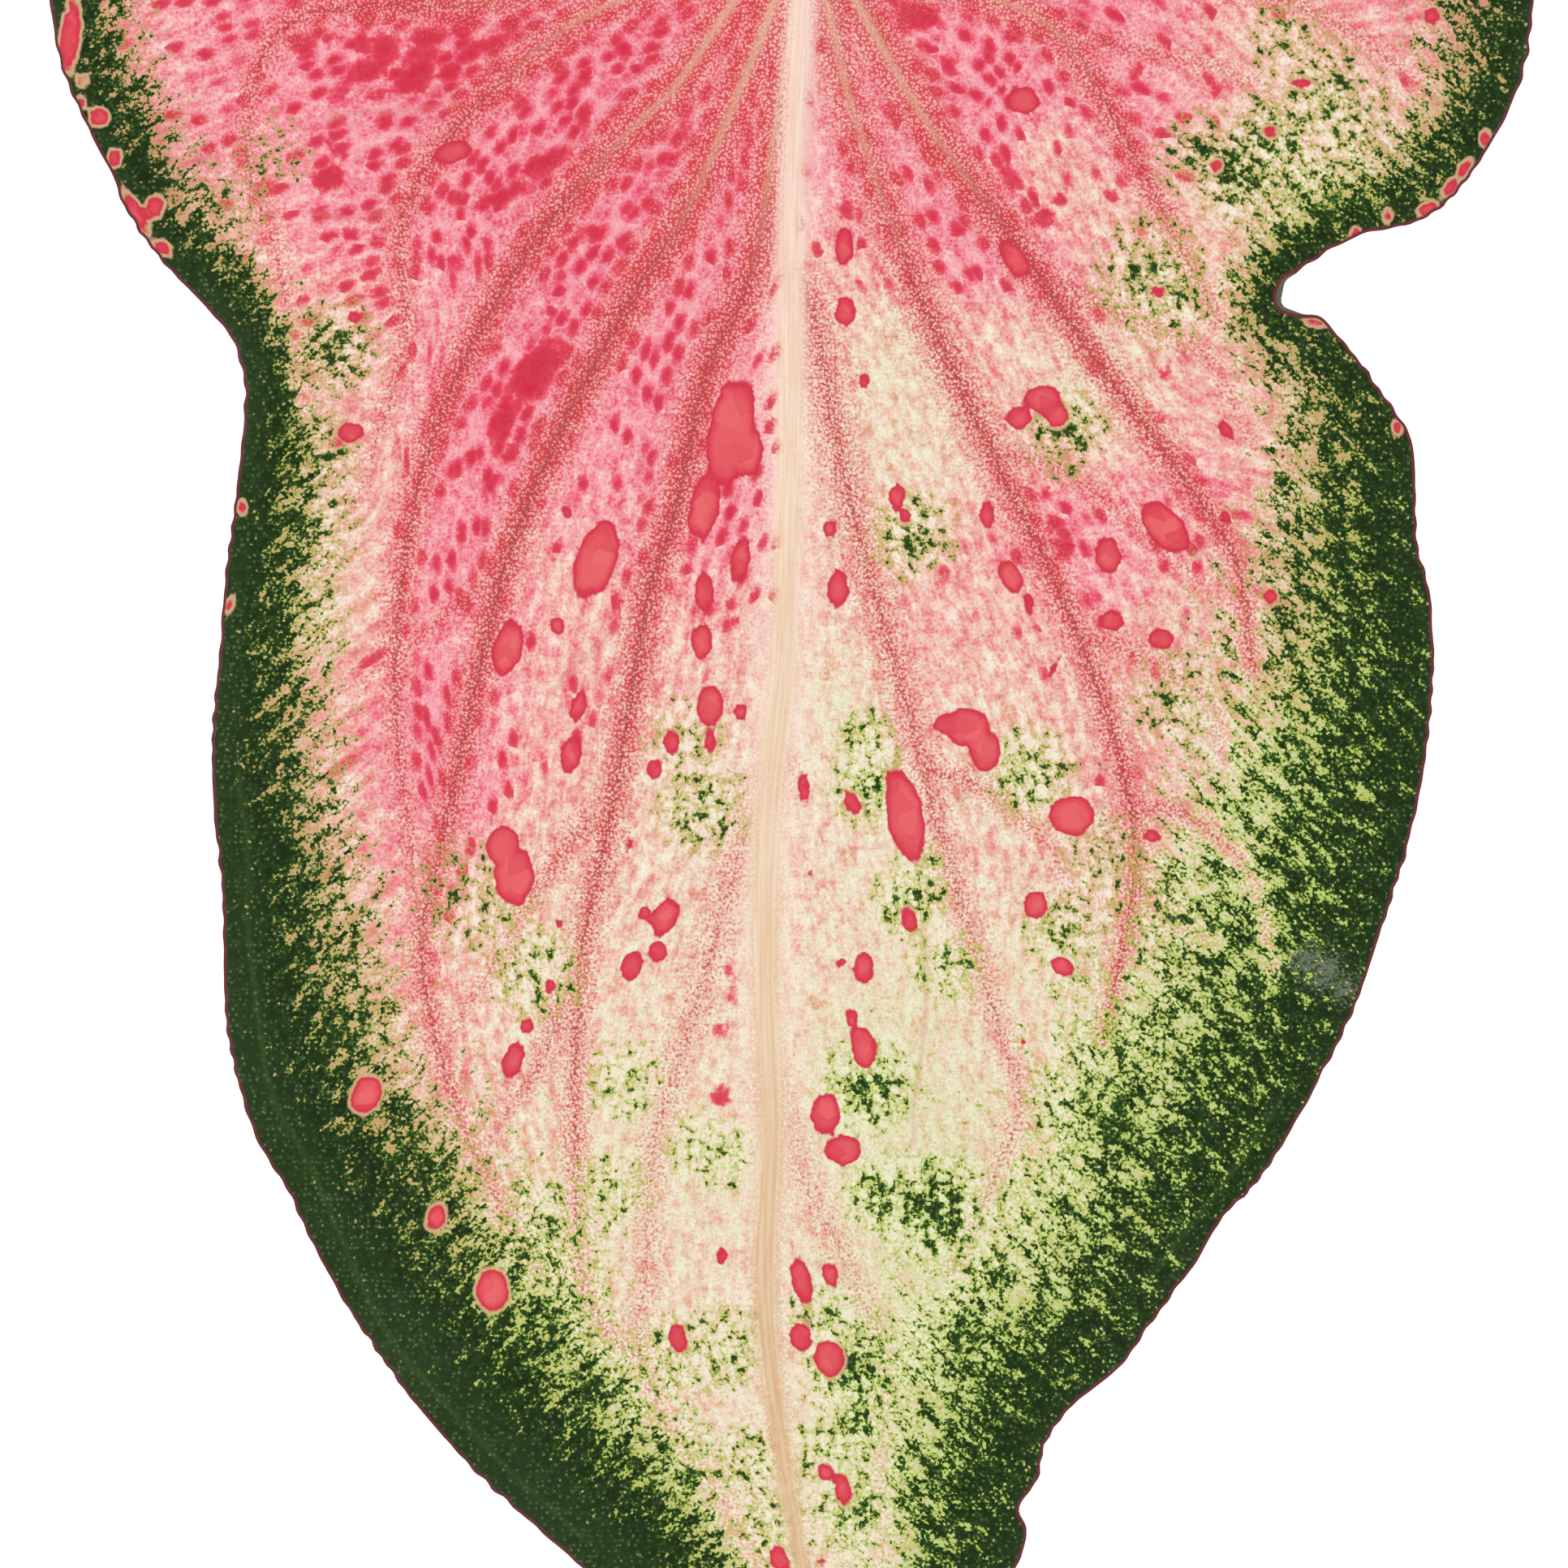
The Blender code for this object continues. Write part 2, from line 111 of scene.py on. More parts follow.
# The blade's edge, counter-clockwise from the bottom of the cleft between the two basal lobes
OUTLINE = [
    (0, 26), (-5, 28.5), (-10.5, 33.5), (-17, 41), (-23.5, 49.5), (-30, 57), (-37.5, 62.8), (-45.5, 65.6),
    (-54, 64.8), (-62.5, 61), (-71, 54), (-78.5, 45), (-85, 33.5), (-89.5, 21), (-92.2, 8), (-92.9, -2),
    (-92.4, -9), (-91, -17), (-88.1, -24), (-84.8, -30.6), (-82.9, -35.2), (-78.8, -41), (-73.1, -47),
    (-69.7, -51.5), (-68.4, -58), (-69.4, -69), (-70.9, -80), (-71.6, -89), (-72.5, -99), (-72.3, -109),
    (-71.3, -119), (-70.9, -134), (-69.4, -142), (-66.9, -149.5), (-63.2, -155.6), (-61.1, -160.3),
    (-58.5, -165.4), (-55.3, -171), (-49.2, -179.6), (-45.9, -183.6), (-41.3, -188.8), (-38, -192.2),
    (-31, -198.6), (-27, -202.2), (-18.5, -210), (-9.5, -218), (-3, -224.5), (1.2, -230.5), (3.6, -236),
    (4.9, -240), (5.9, -236), (7.4, -230), (11, -223), (16, -217), (21.5, -210.5), (26.6, -202.2),
    (27.9, -197.5), (26.9, -194.8), (29.1, -191.6), (30.1, -187.4), (33, -182.8), (39.4, -177.5),
    (42.7, -172.9), (48.7, -164.5), (52, -158.9), (55.3, -155.6), (58.5, -151.4), (63.2, -143.5),
    (68.1, -133.8), (71.4, -124), (74.6, -114), (76.9, -104), (78.1, -92), (77.6, -82), (76.1, -76),
    (75.8, -66.5), (75.1, -62.2), (73.6, -60), (70.3, -55.2), (68, -52.2), (66.5, -50.5), (64.2, -48),
    (61.8, -47.6), (59.4, -46.4), (60, -43.6), (63.4, -41), (68.9, -38), (75.4, -36.5), (79.6, -34),
    (83.7, -29), (87.4, -22.5), (89.6, -16), (90.5, -6), (90.6, 3), (89, 17), (84.5, 31.5), (77.5, 44.5),
    (69, 55.5), (60.5, 62.6), (52, 66.6), (43.5, 67), (36, 63.6), (29.5, 57), (23.5, 49), (16.5, 40),
    (10, 33), (5, 28.5),
]

MIDRIB = [
    (0, -4.5), (0.2, -9), (-0.9, -29), (-1.2, -49), (-1.4, -69), (-2.1, -89), (-4, -109), (-4.3, -129),
    (-3.6, -149), (-4.3, -169), (-2.1, -189), (0.5, -204), (3, -220), (4.6, -236),
]

# The main veins, each from its start at or near the stalk or the midrib out to its end
PRIMARIES = [
    [(-0.6, -9), (-2, -18.4), (-4, -32), (-6.3, -43.4), (-11.7, -55.5), (-15.4, -72),
     (-18.6, -82), (-20.6, -94.1), (-24.4, -114.3), (-26.9, -126.9), (-27.7, -147.7), (-26.3, -168.7),
     (-19.3, -177.1)],
    [(-3.4, -104), (-7.6, -114.3), (-12.2, -130.3), (-17.9, -150), (-19, -166.3), (-20, -173),
     (-17.2, -182.7), (-9.5, -194.3), (-4.5, -203), (-1, -213)],
    [(-1, -4), (-3, -9), (-6.3, -17.4), (-13.7, -34.5), (-20.9, -45.9), (-29.4, -61.9),
     (-35, -74.7), (-38.8, -88.2), (-43.5, -110.1), (-46.6, -126.9), (-42.6, -144.9), (-37.8, -155.6),
     (-32.1, -166)],
    [(-2.5, -2.5), (-7.9, -9), (-15.5, -20), (-21.8, -26.1), (-33.6, -40), (-43.7, -58.5),
     (-48.5, -76.4), (-49.8, -95.3), (-48, -114), (-46.6, -125.5)],
    [(-3.5, -1.5), (-15, -6.5), (-28.5, -12.4), (-42, -24.6), (-49.1, -36.4), (-48.7, -51.1),
     (-54.1, -69)],
    [(-3.5, -0.5), (-20, -5), (-40, -9.6), (-58, -10.2), (-65.6, -15), (-68.2, -28),
     (-64.1, -42), (-61.1, -59)],
    [(-2.8, 2.2), (-16, 12), (-27, 21), (-38, 31), (-47, 42), (-52, 54)],
    [(1, -4), (3.1, -9), (6.4, -22.5), (12.8, -40.9), (20.1, -57.7), (28.2, -74.3), (34.5, -88.2),
     (40, -105), (41, -117.7), (37.4, -137)],
    [(-0.6, -43), (1.9, -49), (5.9, -70.1), (12.6, -94.1), (17.3, -112.2), (24.2, -135.1),
     (27.1, -144.2), (24.2, -153.3), (19.1, -165.4)],
    [(-3.7, -143), (-0.6, -151.9), (5.9, -165.4), (10.1, -175.7), (9.7, -192), (11, -206)],
    [(2.5, -2.5), (6.7, -9), (15.4, -24), (26, -38.3), (36.5, -53.4), (47.7, -68.7), (53.8, -78.5),
     (55.7, -91.6)],
    [(3.5, -1.5), (14, -6), (26.8, -10.1), (34, -16), (43.3, -32.4), (51.3, -48.4)],
    [(3.5, -0.5), (25, -3.5), (50, -6.5), (66.1, -12), (75.9, -19)],
    [(2.8, 2.2), (16, 12.5), (26.5, 22), (37, 32.5), (45.5, 43.5), (50, 55.5)],
]

# The stronger side veins, each from the main vein that it leaves
BRANCHES = [
    [(-36.7, -79.5), (-43.5, -84.8), (-54.6, -94)],
    [(-26, -110.1), (-32.5, -118.5), (-36.7, -126.1), (-43.6, -137.4)],
    [(-29.6, -133), (-31.9, -139.3), (-38.6, -150)],
    [(23.2, -65), (31.1, -66.5), (37.6, -70.8), (47.5, -79.4), (53.6, -83.8)],
    [(34.5, -87.6), (40, -89), (50.1, -95.3), (51.9, -102.9)],
    [(41, -109.2), (46.7, -109), (55.1, -116.4), (58.5, -129)],
    [(41.2, -118), (46.4, -123), (51, -125)],
    [(15.8, -104), (21.9, -105.9), (29.6, -112), (33.2, -118.5)],
    [(29, -42.3), (37.8, -47.1), (49.2, -52.2), (55.9, -63.5)],
    [(31.1, -13), (41.5, -15.3), (54, -18.5), (62.6, -26.9)],
    [(-16, 12), (-30, 14.5), (-50, 12.5), (-72, 2)],
    [(-27, 21), (-42, 26), (-60, 26.5), (-75, 21)],
    [(-38, 31), (-50, 38), (-64, 40.5), (-73, 37.5)],
    [(-16, 12), (-21, 23), (-24.5, 38)],
    [(16, 12.5), (30, 15), (50, 13.5), (72, 4.5)],
    [(26.5, 22), (41, 27.5), (58, 28.5), (73, 24)],
    [(37, 32.5), (49, 39.5), (61, 42), (70, 40)],
    [(16, 12.5), (20.5, 23), (24, 38)],
]

# Fine lines that show only in colour: links between veins, and the vein that follows the edge
THREADS = [
    [(-42.6, -22), (-48.6, -22.7), (-54.6, -23), (-58.6, -24)],
    [(-50.6, -35), (-55.6, -36), (-58.6, -35.5)],
    [(-22.4, -86.1), (-24.9, -88.6), (-28.3, -91.6), (-30, -93.7)],
    [(15.4, -125), (15.3, -135.1), (14.1, -144.4), (13.9, -149)],
    [(45.9, -108.8), (51.4, -105.5), (52.4, -102)],
]
EDGE_VEINS = [
    [(-69.2, -104.7), (-68.1, -113.6), (-68.1, -122.6), (-66.9, -133.7), (-65.1, -143.9), (-61.3, -150.9),
     (-58.1, -157.9), (-54.3, -166.8), (-50.6, -173.8), (-45.9, -179.4), (-38.9, -186.9), (-34.3, -191.6),
     (-27.3, -198.1)],
    [(60.4, -142.5), (57.1, -147.7), (53.4, -152.8), (49.7, -157.9), (45.9, -162.6), (42.2, -167.7)],
]

# How red each main vein's band is at its start and at its end, in the order of PRIMARIES
VEIN_RED = [
    (0.95, 0.35), (0.4, 0.2), (1.0, 0.4), (0.95, 0.35), (0.85, 0.3), (0.75, 0.3), (0.9, 0.35), (0.8, 0.65),
    (0.6, 0.3), (0.3, 0.15), (1.0, 0.6), (0.9, 0.45), (0.8, 0.3), (0.9, 0.35),
]
# The bands along main and side veins: half width at the start and how much of it goes by the end, the
# same for the dark core, and how strong the core is
MAIN_BAND = (3.3, 1.6, 0.75, 0.4, 1.0)
SIDE_BAND = (2.1, 0.7, 0.4, 0.15, 0.7)
SIDE_RED = (0.6, 0.3)
BAND_FALL = 1.6
CORE_EDGE = 1.3
# The midrib's half width, and how strong its paler flanks are, each at distances from the stalk
MIDRIB_HALF = ([0, 30, 60, 110, 150, 190, 232], [1.7, 1.7, 1.5, 2.0, 1.9, 1.2, 0.5])
MIDRIB_PALE = ([0, 25, 50, 120, 150, 170], [0.1, 0.45, 0.75, 0.75, 0.35, 0.1])
MIDRIB_PALE_REACH = 4.2
THREAD_REACH = 0.45
EDGE_VEIN_REACH = 0.4
# The veins in their order round the stalk, from the midrib to the right and back to it from the left.
# 0 is the midrib, 1 the first of PRIMARIES and so on. Some leave the midrib at the given y.
AROUND = [0, 10, 9, 8, 11, 12, 13, 14, 7, 6, 5, 4, 3, 1, 2]
RIGHT_VEINS = 7
LEAVE_MIDRIB = {2: -104.0, 9: -43.0, 10: -143.0}
# Two wide spaces between veins of the left lobe, where the growth runs one way instead: x and y of it
STRAIGHT_GROWTH = {8: (-0.95, -0.31), 9: (-0.91, -0.41)}
# How far apart the patterns of neighbouring spaces are taken from, so that they don't match at a vein
SPACE_SHIFT = 60
# Distances from two veins are weighed from this one on, and a tie goes to the first vein by a hair
BLEND_FROM = 0.3
TIE_BREAK = 0.01
OUT_OF_REACH = 1e6


def smooth_line(points, step, closed=False):
    """Points every step or so along a Catmull-Rom curve through the given points."""
    p = np.array(points, float)
    ends = (p[-1:], p[:2]) if closed else (2 * p[:1] - p[1:2], 2 * p[-1:] - p[-2:-1])
    p = np.vstack([ends[0], p, ends[1]])
    t = np.linspace(0, 1, SPAN_POINTS, endpoint=False)[:, None]
    runs = []
    for a, b, c, d in zip(p[:-3], p[1:-2], p[2:-1], p[3:]):
        runs.append(0.5 * (2 * b + (c - a) * t + (2 * a - 5 * b + 4 * c - d) * t**2
                           + (3 * b - a - 3 * c + d) * t**3))
    line = np.vstack(runs + [p[-2:-1]])
    run = np.concatenate([[0.0], np.cumsum(np.linalg.norm(np.diff(line, axis=0), axis=1))])
    count = max(2, round(run[-1] / step))
    at = np.linspace(0, run[-1], count + 1)
    if closed:
        at = at[:-1]
    return np.column_stack([np.interp(at, run, line[:, 0]), np.interp(at, run, line[:, 1])])


def nearest(points, line):
    """For each point: its distance to a line of points, how far along the line, and on which side."""
    a, b = line[:-1], line[1:]
    along = b - a
    length = np.maximum(np.linalg.norm(along, axis=1), TINY)
    start = np.concatenate([[0.0], np.cumsum(length)])
    found = []
    for block in np.array_split(points, 1 + len(points) * len(a) // BLOCK):
        rel_x = block[:, 0, None] - a[None, :, 0]
        rel_y = block[:, 1, None] - a[None, :, 1]
        t = np.clip((rel_x * along[:, 0] + rel_y * along[:, 1]) / length**2, 0, 1)
        gap = (rel_x - t * along[:, 0]) ** 2 + (rel_y - t * along[:, 1]) ** 2
        k = gap.argmin(1)
        rows = np.arange(len(block))
        side = along[k, 0] * rel_y[rows, k] - along[k, 1] * rel_x[rows, k]
        run = start[k] + t[rows, k] * length[k]
        found.append(np.column_stack([np.sqrt(gap[rows, k]), run, np.sign(side)]))
    return np.vstack(found).T


def normals(line, closed=False):
    """The unit normal to the left of a line at each of its points."""
    if closed:
        tangent = np.roll(line, -1, axis=0) - np.roll(line, 1, axis=0)
    else:
        tangent = np.gradient(line, axis=0)
    tangent = tangent / np.linalg.norm(tangent, axis=1)[:, None]
    return np.column_stack([-tangent[:, 1], tangent[:, 0]])


def inside(points, edge):
    """True for each point within the closed edge, by counting the crossings to its right."""
    a, b = edge, np.roll(edge, -1, axis=0)
    rise = np.where(np.abs(b[:, 1] - a[:, 1]) < TINY, TINY, b[:, 1] - a[:, 1])
    slope = (b[:, 0] - a[:, 0]) / rise
    found = []
    for block in np.array_split(points, 1 + len(points) * len(a) // BLOCK):
        x, y = block[:, 0, None], block[:, 1, None]
        spans = (a[None, :, 1] > y) != (b[None, :, 1] > y)
        crossing = a[None, :, 0] + (y - a[None, :, 1]) * slope[None]
        found.append((spans & (crossing > x)).sum(1) % 2 == 1)
    return np.concatenate(found)


def nibbled(edge):
    """The edge with the real one's fine, uneven bumps: sines of 2 to 7 mm along it, swelling and fading."""
    turn = np.linspace(0, 2 * math.pi, len(edge), endpoint=False)
    bump = np.zeros(len(edge))
    for waves, drift, drifts, swells, start, part in NIBBLES:
        swell = 0.5 + 0.5 * np.sin(swells * turn + start)
        bump += part * np.sin(waves * turn + drift * np.sin(drifts * turn)) * swell
    return edge + normals(edge, closed=True) * (NIBBLE * bump)[:, None]


edge = nibbled(smooth_line(OUTLINE, EDGE_STEP, closed=True))
edge_loop = np.vstack([edge, edge[:1]])
midrib = smooth_line(MIDRIB, VEIN_STEP)
primaries, branches, threads, edge_veins = [
    [smooth_line(vein, VEIN_STEP) for vein in group] for group in (PRIMARIES, BRANCHES, THREADS, EDGE_VEINS)]
network = [(midrib, MIDRIB_WIDTH, MIDRIB_DEPTH)]
network += [(line, VEIN_WIDTH, VEIN_DEPTH) for line in primaries]
network += [(line, BRANCH_WIDTH, BRANCH_DEPTH) for line in branches]


def staggered(step):
    """A staggered grid of points over the blade's box."""
    low, high = edge.min(0), edge.max(0)
    rise = step * math.sin(math.radians(60))
    row, column = np.mgrid[0:int((high[1] - low[1]) / rise), 0:int((high[0] - low[0]) / step)]
    x = low[0] + (column + 0.5 * (row % 2)) * step
    return np.column_stack([x.ravel(), (low[1] + row * rise).ravel()])


def blade_net():
    """The blade's flat pattern as points and triangles: rows along the rim and the veins, and a filling.
    A grid can't follow a lobed edge and forking veins, so the triangles are a constrained Delaunay net."""
    inward = normals(edge, closed=True)
    rim = [edge + inward * gap for gap in RIM_ROWS]
    rim = [row[nearest(row, edge_loop)[0] > RIM_KEEP * gap] for row, gap in zip(rim, RIM_ROWS)]
    crests = [midrib] + primaries + branches + threads + edge_veins
    crests = [row[inside(row, edge) & (nearest(row, edge_loop)[0] > VEIN_TO_EDGE)] for row in crests]
    sides = np.vstack([row + normals(row) * s * VEIN_SIDE_ROW for row in crests for s in (-1, 1)])
    fill = staggered(FILL_STEP)
    fill = fill[inside(fill, edge)]
    fill = fill[nearest(fill, edge_loop)[0] > FILL_TO_EDGE]
    for row in crests:
        sides = sides[nearest(sides, row)[0] > VEIN_KEEP * VEIN_SIDE_ROW]
        fill = fill[nearest(fill, row)[0] > VEIN_SIDE_ROW + FILL_TO_VEIN]
    loose = np.vstack(rim + [sides, fill])
    points = np.vstack([edge] + crests + [loose])
    ridges = []
    at = len(edge)
    for row in crests:
        ridges += [(i, i + 1) for i in range(at, at + len(row) - 1)]
        at += len(row)
    flat = [Vector(p) for p in points]
    made = geometry.delaunay_2d_cdt(flat, ridges, [list(range(len(edge)))], 1, WELD)
    return np.array([tuple(v) for v in made[0]]), np.array(made[2])


net, triangles = blade_net()
edge_gap, edge_run, _ = nearest(net, edge_loop)
edge_length = np.linalg.norm(np.diff(edge_loop, axis=0), axis=1).sum()
vein_reach = [nearest(net, line) for line, width, depth in network]
to_vein = np.min([gap for gap, run, side in vein_reach], axis=0)


def rib_depth():
    """How far the veins stand out below the sheet: a tent across each vein, the deepest one winning."""
    depth = np.zeros(len(net))
    for (line, width, deep), (gap, run, side) in zip(network, vein_reach):
        share = run / run.max()
        half = 0.5 * (width + (END_WIDTH - width) * share)
        depth = np.maximum(depth, deep * (1 - (1 - END_SHARE) * share) * np.clip(1 - gap / half, 0, 1))
    near = np.exp(-((np.linalg.norm(net, axis=1) / JUNCTION_REACH) ** 4))
    return np.minimum(depth, JUNCTION_DEPTH + (1 - near) * MIDRIB_DEPTH)


def soft_max(a, b):
    """The larger of two heights, rounded where they meet."""
    return 0.5 * (a + b + np.sqrt((a - b) ** 2 + BLEND**2))


def sheet_height():
    """Height of the sheet's underside between the veins: low at the waved edge, domed in the middle,
    quilted between the veins, and carried by the stalk where the two meet."""
    rise = SHEET_RISE * np.sin(0.5 * math.pi * np.clip(edge_gap / RISE_REACH, 0, 1))
    turn = 2 * math.pi * edge_run / edge_length
    beat = np.sin(EDGE_WAVES * turn + WAVE_DRIFT * np.sin(WAVE_DRIFTS * turn) + WAVE_START)
    swell = 1 - SWELL_SHARE + SWELL_SHARE * np.sin(SWELLS * turn + SWELL_START)
    wave = EDGE_WAVE * swell * (0.5 + 0.5 * beat) * np.exp(-((edge_gap / EDGE_WAVE_REACH) ** 2))
    quilt = QUILT_DEPTH * (1 - np.exp(-((to_vein / QUILT_REACH) ** 2)))
    near_stalk = np.exp(-((net[:, 0] / STALK_CARRY_WIDTH) ** 2) / 2)
    ahead = 1 / (1 + np.exp((CARRY_FADES_AT - net[:, 1]) / CARRY_FADE))
    lift = soft_max(rise + wave + quilt, STALK_CARRY * near_stalk * ahead) - soft_max(QUILT_DEPTH, 0.0)
    return np.maximum(lift, 0.0)


def blade_mesh():
    """The closed sheet: the same net of triangles above and below, and a wall round the rim."""
    base = sheet_height()
    rib = rib_depth()
    thick = RIM_THICKNESS + (SHEET_THICKNESS - RIM_THICKNESS) * np.clip(edge_gap / RIM_TAPER, 0, 1)
    above = base + thick + RIDGE_SHARE * rib
    below = np.maximum(base - rib, 0.0)
    count = len(net)
    points = np.vstack([np.column_stack([net, above]), np.column_stack([net, below])]) * MM
    rows = np.vstack([triangles[:, [0, 1]], triangles[:, [1, 2]], triangles[:, [2, 0]]])
    known = {tuple(r) for r in rows.tolist()}
    rim = np.array([(a, b) for a, b in rows.tolist() if (b, a) not in known])
    wall = np.vstack([np.column_stack([rim[:, 1], rim[:, 0], rim[:, 0] + count]),
                      np.column_stack([rim[:, 1], rim[:, 0] + count, rim[:, 1] + count])])
    faces = np.vstack([triangles, wall, triangles[:, ::-1] + count])
    mesh = bpy.data.meshes.new("leaf_blade_skin")
    mesh.from_pydata(points.tolist(), [], faces.tolist())
    under = np.arange(len(faces)) >= len(triangles) + len(wall)
    mesh.polygons.foreach_set("material_index", under.astype(np.int32))
    mesh.shade_smooth()
    mesh.set_sharp_from_angle(angle=SHARP_ANGLE)
    return mesh


# Where the colours lie. Each place is x, y, then its reach, then an amount.

# The weight that each place keeps, however far away it is
FAINTEST = 1e-9

